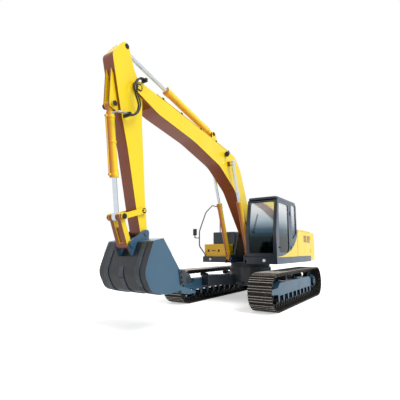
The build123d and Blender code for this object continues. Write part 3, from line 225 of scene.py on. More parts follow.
def roughen(tree, shader, height, strength, distance):
    """A bump on the shader, from a height."""
    bump = add_node(tree, "ShaderNodeBump", {"Height": height, "Strength": strength, "Distance": distance})
    tree.links.new(bump.outputs["Normal"], shader.inputs["Normal"])


def finish_enamel(tree, shader, place, colour, roughness=0.34):
    """Sprayed two-coat enamel: glossy, with a faint orange peel and slight tone changes."""
    tone = noise(tree, place, 1.7, 3.0)
    level = spread(tree, tone.outputs["Fac"], 0.3, 0.7, 0.0, 1.0)
    darker = add_node(tree, "ShaderNodeHueSaturation", {"Value": 0.93, "Saturation": 1.02})
    if isinstance(colour, bpy.types.NodeSocket):
        tree.links.new(colour, darker.inputs["Color"])
    else:
        darker.inputs["Color"].default_value = rgba(colour)
    tree.links.new(blend_colour(tree, level, colour, darker.outputs["Color"]), shader.inputs["Base Color"])
    # Orange peel is about 2 mm across; it is drawn 12 mm across, to show at this distance
    peel = noise(tree, place, 80.0)
    roughen(tree, shader, peel.outputs["Fac"], 0.04, 0.002)
    rough = spread(tree, tone.outputs["Fac"], 0.3, 0.7, roughness - 0.04, roughness + 0.06)
    links = {
        "Roughness": rough,
        "IOR": 1.5,
        "Coat Weight": 0.25,
        "Coat Roughness": 0.12,
    }
    feed(tree, shader, links)


def yellow_enamel(colours):
    """Yellow enamel of the covers, sprayed over pressed steel, with painted shade: the faces that look
    forwards turn a deeper golden yellow.
    """
    finish, tree, shader, place = new_finish("yellow_enamel")
    # Painted shade: the faces that look forwards are blended to a deeper yellow
    front = facing(tree, place, (0, -1, -0.15), 0.5, 0.95)
    tone = blend_colour(tree, front, colours.yellow, linear("#F8C21C"))
    finish_enamel(tree, shader, place, tone)
    return finish


def two_tone_enamel(colours):
    """Yellow enamel on the sides of the boom and arm, with painted shade: brown on the faces that look
    forwards and down.
    """
    finish, tree, shader, place = new_finish("two_tone_enamel")
    # Painted shade: the faces that look forwards and down turn brown
    under = facing(tree, place, (0, -0.8, -0.6), 0.3, 0.46)
    finish_enamel(tree, shader, place, blend_colour(tree, under, colours.yellow, colours.shade))
    return finish


def cylinder_enamel(colours):
    """Yellow enamel on the round barrels, with painted shade that deepens to orange and then brown round
    their front sides.
    """
    finish, tree, shader, place = new_finish("cylinder_enamel")
    # Painted shade: orange, then brown, on the sides that look forwards and down
    side = facing(tree, place, (-0.35, -0.75, -0.45), -0.25, 0.7)
    under = facing(tree, place, (-0.35, -0.75, -0.45), 0.65, 1.0)
    painted_shade_orange = blend_colour(tree, side, colours.yellow, colours.painted_shade_orange)
    finish_enamel(tree, shader, place, blend_colour(tree, under, painted_shade_orange, linear("#A9551F")))
    return finish


def navy_enamel(colours):
    """Dark navy enamel of the cab, deck and tank, with painted shade: darker on the faces that look forwards.
    """
    finish, tree, shader, place = new_finish("navy_enamel")
    # Painted shade: the faces that look forwards are blended to near black
    front = facing(tree, place, (-0.1, -1, -0.3), 0.3, 0.9)
    tone = blend_colour(tree, front, colours.navy, linear("#141F2E"))
    finish_enamel(tree, shader, place, tone, 0.3)
    return finish


def slate_enamel(colours):
    """Slate blue enamel of the bucket and undercarriage, with painted shade: darker on the faces that look
    forwards and down.
    """
    finish, tree, shader, place = new_finish("slate_enamel")
    # Painted shade: the faces that look forwards and down are blended to near black
    front = facing(tree, place, (-0.1, -0.9, -0.4), 0.1, 0.7)
    tone = blend_colour(tree, front, colours.slate, linear("#0F171F"))
    finish_enamel(tree, shader, place, tone, 0.42)
    return finish


def brown_enamel(colours):
    """Brown of the louvres, all painted shade: it stands in for the shade between the slats."""
    finish, tree, shader, place = new_finish("brown_enamel")
    finish_enamel(tree, shader, place, colours.shade)
    return finish


def strap_steel(colours):
    """Slate enamel of the bucket's wear straps and cutters, rubbed by the ground."""
    finish, tree, shader, place = new_finish("rubbed_strap_steel")
    rub = noise(tree, place, 9.0, 5.0)
    bare = spread(tree, rub.outputs["Fac"], 0.45, 0.7)
    tone = blend_colour(tree, bare, linear("#1D2B37"), linear("#35444F"))
    finish_enamel(tree, shader, place, tone, 0.42)
    return finish


def cab_side_enamel(colours, name="cab_side_enamel", skin=0.03):
    """Navy enamel of the cab, with the yellow sweep that rises along its left side to the engine covers, and
    painted shade: darker navy on the faces that look forwards.
    """
    finish, tree, shader, place = new_finish(name)
    spot = add_node(tree, "ShaderNodeSeparateXYZ", {"Vector": place.outputs["Object"]})
    sweep_front, sweep_rear, sweep_low, sweep_high = -1.23, 0.65, 1.29, 2.17
    along = spread(tree, spot.outputs["Y"], sweep_front, sweep_rear)
    drop = spread(tree, spot.outputs["Z"], sweep_high, sweep_low)
    radius = reckon(tree, "ADD", reckon(tree, "POWER", along, 2.0), reckon(tree, "POWER", drop, 2.0))
    outside = spread(tree, radius, 0.998, 1.002)
    left = spread(tree, spot.outputs["X"], UPPER_HALF - skin, UPPER_HALF - skin + 0.005)
    # Painted shade: darker navy on the faces that look forwards
    front = facing(tree, place, (-0.1, -1, -0.3), 0.3, 0.9)
    navy = blend_colour(tree, front, colours.navy, linear("#141F2E"))
    tone = blend_colour(tree, reckon(tree, "MULTIPLY", outside, left), navy, colours.yellow)
    finish_enamel(tree, shader, place, tone, 0.3)
    return finish


def side_door_enamel(colours):
    """The same sweep and painted shade on the left side door, through its whole thickness."""
    return cab_side_enamel(colours, "side_door_enamel", 0.2)


def track_steel(colours):
    """Rolled and hardened steel of the track, dark with mill scale and patches of dust."""
    finish, tree, shader, place = new_finish("rolled_track_steel")
    scale = noise(tree, place, 28.0, 6.0)
    worn = spread(tree, scale.outputs["Fac"], 0.45, 0.75)
    links = {
        "Base Color": blend_colour(tree, worn, colours.shoe, linear("#4A443E")),
        "Metallic": 0.55,
        "Roughness": spread(tree, scale.outputs["Fac"], 0.3, 0.7, 0.38, 0.6),
    }
    feed(tree, shader, links)
    roughen(tree, shader, scale.outputs["Fac"], 0.2, 0.003)
    return finish


def worn_steel(colours):
    """Bare steel that the ground has polished, with fine scratches."""
    finish, tree, shader, place = new_finish("ground_polished_steel")
    links = {"Vector": place.outputs["Object"], "Scale": (8.0, 90.0, 90.0)}
    stretch = add_node(tree, "ShaderNodeMapping", links)
    scratch = noise(tree, stretch.outputs["Vector"], 3.0, 4.0)
    tone = spread(tree, scratch.outputs["Fac"], 0.3, 0.7)
    base = blend_colour(tree, tone, linear("#8F8B86"), linear("#D8D4CE"))
    links = {
        "Base Color": base,
        "Metallic": 1.0,
        "Roughness": spread(tree, scratch.outputs["Fac"], 0.3, 0.7, 0.3, 0.5),
    }
    feed(tree, shader, links)
    return finish


def dark_steel(colours):
    """Cast steel under a thin black primer, as on rollers and fittings."""
    finish, tree, shader, place = new_finish("primed_cast_steel")
    grain = noise(tree, place, 60.0, 4.0)
    tone = blend_colour(tree, grain.outputs["Fac"], linear("#1C1D20"), linear("#33363A"))
    links = {
        "Base Color": tone,
        "Metallic": 0.4,
        "Roughness": 0.48,
    }
    feed(tree, shader, links)
    roughen(tree, shader, grain.outputs["Fac"], 0.15, 0.002)
    return finish


def hard_chrome(colours):
    """Ground and hard-chromed rod: a mirror with the faintest lengthwise tone."""
    finish, tree, shader, place = new_finish("hard_chrome")
    tone = noise(tree, place, 9.0)
    base = blend_colour(tree, tone.outputs["Fac"], linear("#C9D2DC"), linear("#DDE4EA"))
    links = {
        "Base Color": base,
        "Metallic": 1.0,
        "Roughness": 0.16,
    }
    feed(tree, shader, links)
    return finish


def black_rubber(colours):
    """Extruded black rubber of hoses and seals, with a soft sheen."""
    finish, tree, shader, place = new_finish("black_rubber")
    grain = noise(tree, place, 120.0)
    tone = blend_colour(tree, grain.outputs["Fac"], colours.rubber, linear("#222222"))
    links = {
        "Base Color": tone,
        "Roughness": 0.5,
        "IOR": 1.52,
    }
    feed(tree, shader, links)
    return finish


def moulded_plastic(colours):
    """Textured black ABS, as on consoles, mirrors and handles."""
    finish, tree, shader, place = new_finish("moulded_black_plastic")
    grain = noise(tree, place, 220.0)
    tone = blend_colour(tree, grain.outputs["Fac"], linear("#141518"), linear("#232529"))
    links = {
        "Base Color": tone,
        "Roughness": 0.55,
    }
    feed(tree, shader, links)
    roughen(tree, shader, grain.outputs["Fac"], 0.12, 0.001)
    return finish


def glass_painted_reflection(colours):
    """Toughened cab glass, its colour a painted reflection above and painted shade below: pale above, darker
    towards the floor.
    """
    finish, tree, shader, place = new_finish("tinted_cab_glass")
    spot = add_node(tree, "ShaderNodeSeparateXYZ", {"Vector": place.outputs["Object"]})
    # Painted reflection above, painted shade below: the colour runs by height from dark to pale
    height = spread(tree, spot.outputs["Z"], 1.42, 2.86)
    ramp = add_node(tree, "ShaderNodeValToRGB", {"Fac": height})
    stops = (
        (0.0, "#0B1310"),
        (0.27, "#1A2A2C"),
        (0.42, "#456274"),
        (0.6, "#B4C4CD"),
        (0.8, "#E8EDEF"),
        (1.0, "#F4F6F6"),
    )
    while len(ramp.color_ramp.elements) < len(stops):
        ramp.color_ramp.elements.new(0.5)
    for element, (place_at, code) in zip(ramp.color_ramp.elements, stops):
        element.position = place_at
        element.color = rgba(linear(code))
    links = {
        "Base Color": ramp.outputs["Color"],
        "Roughness": 0.06,
        "IOR": 1.52,
        "Metallic": 0.75,
        "Alpha": 0.84,
    }
    feed(tree, shader, links)
    return finish


def lamp_glass(colours):
    """Clear moulded lamp lens over a bright reflector."""
    finish, tree, shader, place = new_finish("lamp_lens")
    ribs = add_node(tree, "ShaderNodeTexWave", {"Vector": place.outputs["Object"], "Scale": 60.0})
    tone = blend_colour(tree, ribs.outputs["Fac"], linear("#EDF1F4"), linear("#FFFFFF"))
    links = {
        "Base Color": tone,
        "Roughness": 0.08,
        "IOR": 1.5,
        "Coat Weight": 0.6,
    }
    feed(tree, shader, links)
    return finish


def woven_cloth(colours):
    """Woven polyester seat cloth, dark grey, with threads drawn 6 mm apart so that they show."""
    finish, tree, shader, place = new_finish("woven_seat_cloth")
    thread = 1 / 0.006
    links = {"Vector": place.outputs["Object"], "Scale": thread / 3}
    warp = add_node(tree, "ShaderNodeTexWave", links)
    weft = add_node(tree, "ShaderNodeTexWave", links, bands_direction="Y")
    weave = reckon(tree, "MULTIPLY", warp.outputs["Fac"], weft.outputs["Fac"])
    tone = blend_colour(tree, weave, linear("#1D1E21"), linear("#3A3C40"))
    links = {
        "Base Color": tone,
        "Roughness": 0.85,
        "Sheen Weight": 0.3,
    }
    feed(tree, shader, links)
    roughen(tree, shader, weave, 0.3, 0.002)
    return finish


FINISHES = {
    "yellow": yellow_enamel,
    "yellow_painted_underside_shade": two_tone_enamel,
    "cylinder": cylinder_enamel,
    "navy": navy_enamel,
    "slate": slate_enamel,
    "brown": brown_enamel,
    "strap": strap_steel,
    "cab_side": cab_side_enamel,
    "side_door": side_door_enamel,
    "track": track_steel,
    "worn": worn_steel,
    "steel": dark_steel,
    "chrome": hard_chrome,
    "rubber": black_rubber,
    "plastic": moulded_plastic,
    "glass": glass_painted_reflection,
    "lens": lamp_glass,
    "cloth": woven_cloth,
}
made_finishes = {}


def finish_of(name):
    """One of the finishes above, made when it is first asked for."""
    if name not in made_finishes:
        made_finishes[name] = FINISHES[name](bpy.context.scene.excavator_colours)
    return made_finishes[name]


NODE_FINISHES = {
    "yellow": (
        "counterweight", "lifting_lugs", "body_frame", "engine_hood", "side_door_right", "tool_box",
        "tool_box_lid",
    ),
    "yellow_painted_underside_shade": ("boom", "arm", "idler_links", "h_link"),
    "cylinder": (
        "boom_cylinder_left_barrel", "boom_cylinder_right_barrel", "arm_cylinder_barrel",
        "bucket_cylinder_barrel",
    ),
    "navy": ("revolving_frame", "fuel_tank", "cab_roof", "exhaust"),
    "cab_side": ("cab_frame", "cab_door"),
    "side_door": ("side_door_left",),
    "slate": ("car_body", "side_frame_left", "side_frame_right", "final_drives", "bucket", "bucket_teeth"),
    "track": ("track_left", "track_right"),
    "steel": (
        "track_rollers", "carrier_rollers", "idlers", "sprockets", "swing_bearing", "engine_block",
        "handrail",
    ),
    "chrome": (
        "boom_cylinder_left_rod", "boom_cylinder_right_rod", "arm_cylinder_rod", "bucket_cylinder_rod",
    ),
    "glass": ("cab_windows", "windscreen", "door_glass"),
    "plastic": ("consoles", "mirror", "boom_lamp"),
    "cloth": ("seat",),
    "lens": ("front_lamps",),
}


def add_box(bm, low, high):
    """A box between two corners."""
    low, high = Vector(low), Vector(high)
    size = Matrix.Diagonal((*(high - low), 1))
    bmesh.ops.create_cube(bm, size=1, matrix=Matrix.Translation((low + high) / 2) @ size)


def add_between(bm, one, two):
    """A closed solid between two rings of points."""
    one, two = ([bm.verts.new(point) for point in ring] for ring in (one, two))
    bm.faces.new(one)
    bm.faces.new(list(reversed(two)))
    for number in range(len(one)):
        after = (number + 1) % len(one)
        bm.faces.new((one[number], two[number], two[after], one[after]))


def add_prism(bm, outline, x_low, x_high):
    """A closed (y, z) outline between two x places."""
    add_between(bm, *([(x, y, z) for y, z in outline] for x in (x_low, x_high)))


def add_rod(bm, start, end, radius, sides=24, radius_end=None):
    """A round bar from one point to another."""
    start, end = Vector(start), Vector(end)
    turn = (end - start).to_track_quat("Z", "Y").to_matrix().to_4x4()
    bmesh.ops.create_cone(
        bm,
        cap_ends=True,
        segments=sides,
        radius1=radius,
        radius2=radius if radius_end is None else radius_end,
        depth=(end - start).length,
        matrix=Matrix.Translation((start + end) / 2) @ turn,
    )


def add_ring(bm, start, end, inner, outer, sides=36):
    """A round ring with an open bore from one point to another."""
    start, end = Vector(start), Vector(end)
    turn = (end - start).to_track_quat("Z", "Y")
    hoops = []
    for centre, radius in ((start, inner), (start, outer), (end, outer), (end, inner)):
        spokes = [2 * math.pi * number / sides for number in range(sides)]
        places = [centre + turn @ Vector((math.cos(a) * radius, math.sin(a) * radius, 0)) for a in spokes]
        hoops.append([bm.verts.new(place) for place in places])
    for one, two in zip(hoops, hoops[1:] + hoops[:1]):
        for number in range(sides):
            after = (number + 1) % sides
            bm.faces.new((one[number], one[after], two[after], two[number]))


def plain_mesh(thing):
    """An object's evaluated shape as a mesh of its own, with no modifier left."""
    graph = bpy.context.evaluated_depsgraph_get()
    made = bpy.data.meshes.new_from_object(thing.evaluated_get(graph), depsgraph=graph)
    made.name = thing.name
    return made


def shade(mesh, degrees=32):
    """Smooth shading with crisp edges past an angle."""
    mesh.shade_smooth()
    mesh.set_sharp_from_angle(angle=math.radians(degrees))


def settle(thing, body, finish=None):
    """Give a finished piece its material and body. A tuple as body leaves the piece unattached, with its
    place baked into its mesh.
    """
    if finish:
        thing.data.materials.clear()
        thing.data.materials.append(finish_of(finish))
    if isinstance(body, tuple):
        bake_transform(thing)
    else:
        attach(thing, body)
    return thing


def bevel_edges(thing, width, steps):
    """A bevel on every crisp edge."""
    edge = thing.modifiers.new("edges", "BEVEL")
    edge.width, edge.segments = width, steps
    edge.limit_method, edge.angle_limit = "ANGLE", math.radians(38)


def piece(name, bm, body, finish, bevel=0.0, steps=2):
    """A mesh piece from a bmesh, with its edges bevelled and its faces pointing outwards."""
    bmesh.ops.recalc_face_normals(bm, faces=bm.faces)
    mesh = bpy.data.meshes.new(name)
    bm.to_mesh(mesh)
    bm.free()
    thing = bpy.data.objects.new(name, mesh)
    bpy.context.scene.collection.objects.link(thing)
    if bevel:
        bevel_edges(thing, bevel, steps)
        bevelled = plain_mesh(thing)
        thing.modifiers.clear()
        thing.data = bevelled
    shade(thing.data)
    return settle(thing, body, finish)


def repeater():
    """A Geometry Nodes tree that puts one piece on each point, turned by the point's own turn."""
    tree = bpy.data.node_groups.new("repeat_piece", "GeometryNodeTree")
    for name, kind, way in (
        ("Points", "NodeSocketGeometry", "INPUT"),
        ("Piece", "NodeSocketObject", "INPUT"),
        ("Size", "NodeSocketFloat", "INPUT"),
        ("Finish", "NodeSocketMaterial", "INPUT"),
        ("Made", "NodeSocketGeometry", "OUTPUT"),
    ):
        tree.interface.new_socket(name=name, socket_type=kind, in_out=way)
    source = add_node(tree, "NodeGroupInput")
    one = add_node(tree, "GeometryNodeObjectInfo", {"Object": source.outputs["Piece"], "As Instance": True})
    turn = add_node(tree, "GeometryNodeInputNamedAttribute", {"Name": "turn"}, data_type="FLOAT_VECTOR")
    euler = add_node(tree, "FunctionNodeEulerToRotation", {"Euler": turn.outputs["Attribute"]})
    links = {
        "Points": source.outputs["Points"],
        "Instance": one.outputs["Geometry"],
        "Rotation": euler.outputs["Rotation"],
        "Scale": source.outputs["Size"],
    }
    put = add_node(tree, "GeometryNodeInstanceOnPoints", links)
    real = add_node(tree, "GeometryNodeRealizeInstances", {"Geometry": put.outputs["Instances"]})
    links = {"Geometry": real.outputs["Geometry"], "Material": source.outputs["Finish"]}
    painted = add_node(tree, "GeometryNodeSetMaterial", links)
    add_node(tree, "NodeGroupOutput", {"Made": painted.outputs["Geometry"]})
    return tree


def repeat(name, bm, places, body, finish, size=1.0, bevel=0.0, degrees=32):
    """One small piece on each of many places, each a point and its turn, as one plain mesh."""
    tree = bpy.data.node_groups.get("repeat_piece") or repeater()
    bmesh.ops.recalc_face_normals(bm, faces=bm.faces)
    mesh = bpy.data.meshes.new(name + "_one")
    bm.to_mesh(mesh)
    bm.free()
    one = bpy.data.objects.new(name + "_one", mesh)
    bpy.context.scene.collection.objects.link(one)
    if bevel:
        bevel_edges(one, bevel, 1)
    cloud = bpy.data.meshes.new(name)
    cloud.from_pydata([tuple(point) for point, _ in places], [], [])
    turns = cloud.attributes.new("turn", "FLOAT_VECTOR", "POINT")
    for number, (_, turn) in enumerate(places):
        turns.data[number].vector = turn
    thing = bpy.data.objects.new(name, cloud)
    bpy.context.scene.collection.objects.link(thing)
    made = thing.modifiers.new("repeat", "NODES")
    made.node_group = tree
    inputs = {item.name: item.identifier for item in tree.interface.items_tree if item.in_out == "INPUT"}
    made[inputs["Piece"]] = one
    made[inputs["Size"]] = size
    made[inputs["Finish"]] = finish_of(finish)
    real = plain_mesh(thing)
    thing.modifiers.clear()
    thing.data = real
    bpy.data.objects.remove(one)
    shade(thing.data, degrees)
    return settle(thing, body, None)


def hexagon_bolt(width=0.036, height=0.018):
    """A hexagon bolt head on a washer, standing on z = 0."""
    bm = bmesh.new()
    add_rod(bm, (0, 0, 0), (0, 0, height * 0.2), width * 0.72, 16)
    add_rod(bm, (0, 0, height * 0.2), (0, 0, height), width * 0.577, 6)
    return bm


def bolt_ring(centre, axis, radius, count, start=0.0):
    """Places of bolts round a centre, with their heads along an axis."""
    turn = Vector(axis).normalized().to_track_quat("Z", "Y")
    places = []
    for number in range(count):
        angle = start + 2 * math.pi * number / count
        spoke = Vector((math.cos(angle) * radius, math.sin(angle) * radius, 0))
        places.append((Vector(centre) + turn @ spoke, turn.to_euler()))
    return places


def pipe(name, points, radius, body, finish, sides=3, order=3):
    """A round pipe along one smooth line through its control points, as a mesh."""
    line = bpy.data.curves.new(name, "CURVE")
    line.dimensions = "3D"
    line.bevel_depth = radius
    line.bevel_resolution = sides
    line.use_fill_caps = True
    line.resolution_u = 8
    spline = line.splines.new("NURBS")
    spline.points.add(len(points) - 1)
    for knot, point in zip(spline.points, points):
        knot.co = (*point, 1)
    spline.order_u = order
    spline.use_endpoint_u = True
    curve = bpy.data.objects.new(name + "_line", line)
    bpy.context.scene.collection.objects.link(curve)
    mesh = plain_mesh(curve)
    mesh.name = name
    bpy.data.objects.remove(curve)
    thing = bpy.data.objects.new(name, mesh)
    bpy.context.scene.collection.objects.link(thing)
    shade(thing.data, 50)
    return settle(thing, body, finish)


def reach(node, y, z, radius=0.13):
    """How far a solid reaches sideways close to a pin."""
    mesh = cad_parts[node].data
    near = [abs(v.co.x) for v in mesh.vertices if math.hypot(v.co.y - y, v.co.z - z) < radius]
    return max(near) if near else 0.0


def rounded(points, radii, steps=10):
    """An open (y, z) line with each inner corner rounded."""
    line = [Vector(points[0])]
    for before, corner, after, radius in zip(points, points[1:], points[2:], radii[1:]):
        before, corner, after = Vector(before), Vector(corner), Vector(after)
        one, two = (before - corner).normalized(), (after - corner).normalized()
        half = one.angle(two) / 2
        cut = min(radius / math.tan(half), (before - corner).length * 0.49, (after - corner).length * 0.49)
        start, end = corner + one * cut, corner + two * cut
        for number in range(steps + 1):
            t = number / steps
            line.append(start * (1 - t) ** 2 + corner * (2 * t * (1 - t)) + end * t * t)
    line.append(Vector(points[-1]))
    return line


def add_band(bm, line, depth, x_low, x_high):
    """A flat band along an open (y, z) line, depth thick on its right-hand side."""
    outer, inner = [], []
    for number, point in enumerate(line):
        before, after = line[max(number - 1, 0)], line[min(number + 1, len(line) - 1)]
        along = (after - before).normalized()
        outer.append(tuple(point))
        inner.append((point.x - along.y * depth, point.y + along.x * depth))
    for one, two, three, four in zip(outer, outer[1:], inner[1:], inner):
        add_prism(bm, [one, two, three, four], x_low, x_high)
    bmesh.ops.remove_doubles(bm, verts=bm.verts, dist=0.0001)


def boom_top(y):
    """Height of the boom's top plate."""
    return 4.440 - (0.1257 if y < -3.43 else 0.1310) * (y + 3.43)


def pitch_point(run):
    """A (y, z) point of the track's pitch line, run metres from the idler's foot."""
    half_span = TUMBLER_SPAN / 2
    half_circle = math.pi * PITCH_RADIUS
    middle = TRACK_HEIGHT / 2
    run = run % LOOP_LENGTH
    if run < TUMBLER_SPAN:
        return run - half_span, middle - PITCH_RADIUS
    run -= TUMBLER_SPAN
    if run < half_circle:
        turn = run / PITCH_RADIUS - math.pi / 2
        return half_span + PITCH_RADIUS * math.cos(turn), middle + PITCH_RADIUS * math.sin(turn)
    run -= half_circle
    if run < TUMBLER_SPAN:
        return half_span - run, middle + PITCH_RADIUS
    run -= TUMBLER_SPAN
    turn = run / PITCH_RADIUS + math.pi / 2
    return PITCH_RADIUS * math.cos(turn) - half_span, middle + PITCH_RADIUS * math.sin(turn)


def shoe_places(side):
    """Each shoe's first pin and the turn that lays a shoe along the loop, with its plate outwards."""
    places = []
    for number in range(SHOE_COUNT):
        first = Vector(pitch_point(number * PITCH))
        second = Vector(pitch_point((number + 1) * PITCH))
        along = second - first
        turn = math.atan2(along.y, along.x)
        places.append((Vector((side * GAUGE / 2, first.x, first.y)), (turn + math.pi, 0, 0)))
    return places


def track_shoe():
    """A track shoe with its lip and grousers, and the worn tips of the grousers, from its first pin."""
    shoe, tips = bmesh.new(), bmesh.new()
    half = SHOE_WIDTH / 2
    low, high = LINK_HEIGHT / 2, LINK_HEIGHT / 2 + SHOE_PLATE
    near, far = -0.004, -PITCH - 0.006
    add_prism(shoe, [(near, low), (far, low), (far, high), (near, high)], -half, half)
    # The lip lies under the next shoe's plate, so that no light shows between them
    top, end = low - 0.001, -PITCH - 0.026
    outline = [(-PITCH, top), (-PITCH, top - 0.006), (end, top - 0.008), (end, top - 0.002)]
    add_prism(shoe, outline, -half, half)
    foot, top = high - 0.001, high + GROUSER
    half_foot, half_top, shoulder, round_off = 0.013, 0.007, top - 0.005, 0.002
    for bar in range(GROUSER_COUNT):
        middle = -PITCH * (bar + 0.5) / GROUSER_COUNT
        rear, front = middle - half_top, middle + half_top
        outline = [(middle - half_foot, foot), (rear, shoulder)]
        outline += [(front, shoulder), (middle + half_foot, foot)]
        add_prism(shoe, outline, -half, half)
        outline = [(rear, shoulder), (rear + round_off, top), (front - round_off, top), (front, shoulder)]
        add_prism(tips, outline, -half, half)
    return shoe, tips


def track_link():
    """A pair of links with the pin between them."""
    links = bmesh.new()
    top, inset = LINK_HEIGHT / 2, 0.008
    half = LINK_WIDTH / 2 - inset
    for rail in (-1, 1):
        centre = rail * (LINK_GAP + LINK_WIDTH) / 2
        for start, end, offset in ((0.02, -PITCH * 0.55, inset), (-PITCH * 0.45, -PITCH - 0.02, -inset)):
            outline = [(start, -0.03), (start, 0.03), (start - 0.03, top), (end + 0.03, top)]
            outline += [(end, 0.03), (end, -0.03), (end + 0.04, -top), (start - 0.04, -top)]
            add_prism(links, outline, centre + offset - half, centre + offset + half)
    reach_out = LINK_GAP / 2 + LINK_WIDTH
    add_rod(links, (-reach_out, 0, 0), (reach_out, 0, 0), 0.024, 14)
    return links


def boom_pipes():
    """The steel pipes on the boom's top, and their clamps."""
    for number, x in enumerate((-0.160, -0.118, 0.118, 0.160)):
        line = [(x, y, boom_top(y) + 0.038) for y in (-4.74, -4.4, -4.0, -3.43, -3.0, -2.4, -1.9, -1.54)]
        pipe(f"boom_pipe_{number}", line, 0.015, "boom", "yellow_painted_underside_shade")
    clamps = bmesh.new()
    half, sunk, height = 0.03, 0.004, 0.06
    for y in (-4.56, -3.90, -3.10, -2.35, -1.65):
        front, rear = boom_top(y - half), boom_top(y + half)
        outline = [(y - half, front - sunk), (y + half, rear - sunk)]
        outline += [(y + half, rear + height), (y - half, front + height)]
        for side in (-1, 1):
            add_prism(clamps, outline, *sorted((side * 0.095, side * 0.183)))
    piece("boom_pipe_clamps", clamps, "boom", "steel", 0.004)


def arm_hoses(radius):
    """The hoses that bend from the boom to the arm, with the arm's tubes and both brackets."""
    loop = [(-5.23, 4.70), (-5.36, 4.72), (-5.48, 4.53), (-5.46, 4.40), (-5.41, 4.28)]
    loop += [(-5.34, 4.18), (-5.37, 4.02), (-5.46, 3.91), (-5.54, 3.87), (-5.69, 3.86)]
    across = ("boom", "arm", Vector((0.26, -5.30, 4.71)), Vector((0.26, -5.37, 4.02)))
    for number, x in enumerate((0.235, 0.285)):
        line = [(x, y, z) for y, z in loop]
        pipe(f"arm_hose_{number}", line, radius, across, "rubber")
        tube = [(x, -5.66, 3.862), (x, -5.78, 3.84), (x - 0.03, -5.86, 3.83), (x - 0.10, -5.9, 3.81)]
        pipe(f"arm_tube_{number}", tube, 0.015, "arm", "worn")
    for name, body, low, high in (
        ("arm_hose_bracket", "arm", (0.13, -5.63, 3.825), (0.31, -5.59, 3.9)),
        ("boom_hose_bracket", "boom", (0.19, -5.25, 4.665), (0.315, -5.20, 4.735)),
    ):
        bracket = bmesh.new()
        add_box(bracket, low, high)
        piece(name, bracket, body, "steel", 0.004)


def pin_caps():
    """A cap with four bolts on both ends of each pin that shows."""
    caps = {
        "boom": (("boom", ARM_PIN, 0.075), ("boom", ARM_CYLINDER_BASE, 0.055)),
        "arm": (("arm", ARM_CYLINDER_HEAD, 0.05), ("arm", BUCKET_CYLINDER_BASE, 0.05)),
        "bucket": (("bucket", TIP_PIN, 0.052), ("bucket", BUCKET_PIN, 0.045)),
        "idler_links": (("idler_links", IDLER_PIN, 0.05), ("idler_links", LINK_PIN, 0.05)),
    }
    for body, pins in caps.items():
        discs, heads = bmesh.new(), []
        for node, (y, z), radius in pins:
            face = BUCKET_EAR if node == "bucket" else reach(node, y, z)
            for side in (-1, 1):
                add_rod(discs, (side * (face - 0.004), y, z), (side * (face + 0.010), y, z), radius, 28)
                heads += bolt_ring((side * (face + 0.009), y, z), (side, 0, 0), radius * 0.62, 4)
        finish = "worn" if body == "bucket" else "steel"
        piece(f"pin_caps_{body}", discs, body, finish, 0.003)
        repeat(f"pin_bolts_{body}", hexagon_bolt(0.018, 0.009), heads, body, "steel")


def cylinder_trim():
    """The gland, collars, ports and oil pipe of each cylinder's barrel."""
    for body, x, base, head, outer, length in CYLINDERS:
        base, head = Vector(base), Vector(head)
        along = (head - base).normalized()
        out = Vector((along.y, -along.x))

        def at(run, off=0.0):
            point = base + along * run + out * off
            return x, point.x, point.y

        rings = bmesh.new()
        add_ring(rings, at(length - 0.075), at(length - 0.004), outer - 0.006, outer + 0.011)
        for run in (0.2, 0.5 * length) if body == "bucket_barrel" else (0.2,):
            add_ring(rings, at(run), at(run + 0.045), outer - 0.006, outer + 0.008)
        for run in (0.21, length - 0.05):
            add_rod(rings, at(run, outer - 0.01), at(run, outer + 0.05), 0.022, 12)
        piece(f"gland_rings_{body}", rings, body, "cylinder", 0.003)
        line = [at(0.21, outer + 0.04), at(0.4, outer + 0.036)]
        line += [at(length - 0.3, outer + 0.036), at(length - 0.05, outer + 0.04)]
        pipe(f"cylinder_pipe_{body}", line, 0.011, body, "cylinder")


def louvres(side):
    """Two columns of pressed louvres on the outside of a side door."""
    slats = bmesh.new()
    face = side * UPPER_HALF
    for y_low, y_high in ((1.27, 1.59), (1.68, 2.0)):
        for row in range(5):
            top = 1.95 - row * 0.046
            ends = []
            for y, inner in ((y_low, y_low + 0.008), (y_high, y_high - 0.008)):
                corners = [(-0.003, 0.0, y), (0.014, -0.024, inner)]
                corners += [(0.014, -0.030, inner), (-0.003, -0.034, y)]
                ends.append([(face + side * out, place, top + drop) for out, drop, place in corners])
            add_between(slats, *ends)
    return slats


def cushion(name, low, high):
    """A stuffed cushion between two corners, full in the middle and round at the edges."""
    bm = bmesh.new()
    low, high = Vector(low), Vector(high)
    middle, half = (low + high) / 2, (high - low) / 2
    bmesh.ops.create_cube(bm, size=2)
    bmesh.ops.subdivide_edges(bm, edges=bm.edges, cuts=15, use_grid_fill=True)
    fullness = 6
    for vert in bm.verts:
        scale = 1 / (sum(abs(value) ** fullness for value in vert.co) ** (1 / fullness))
        x, y, z = vert.co
        vert.co = middle + Vector((x * half.x, y * half.y, z * half.z)) * scale
    made = piece(name, bm, "upper", "cloth")
    return made


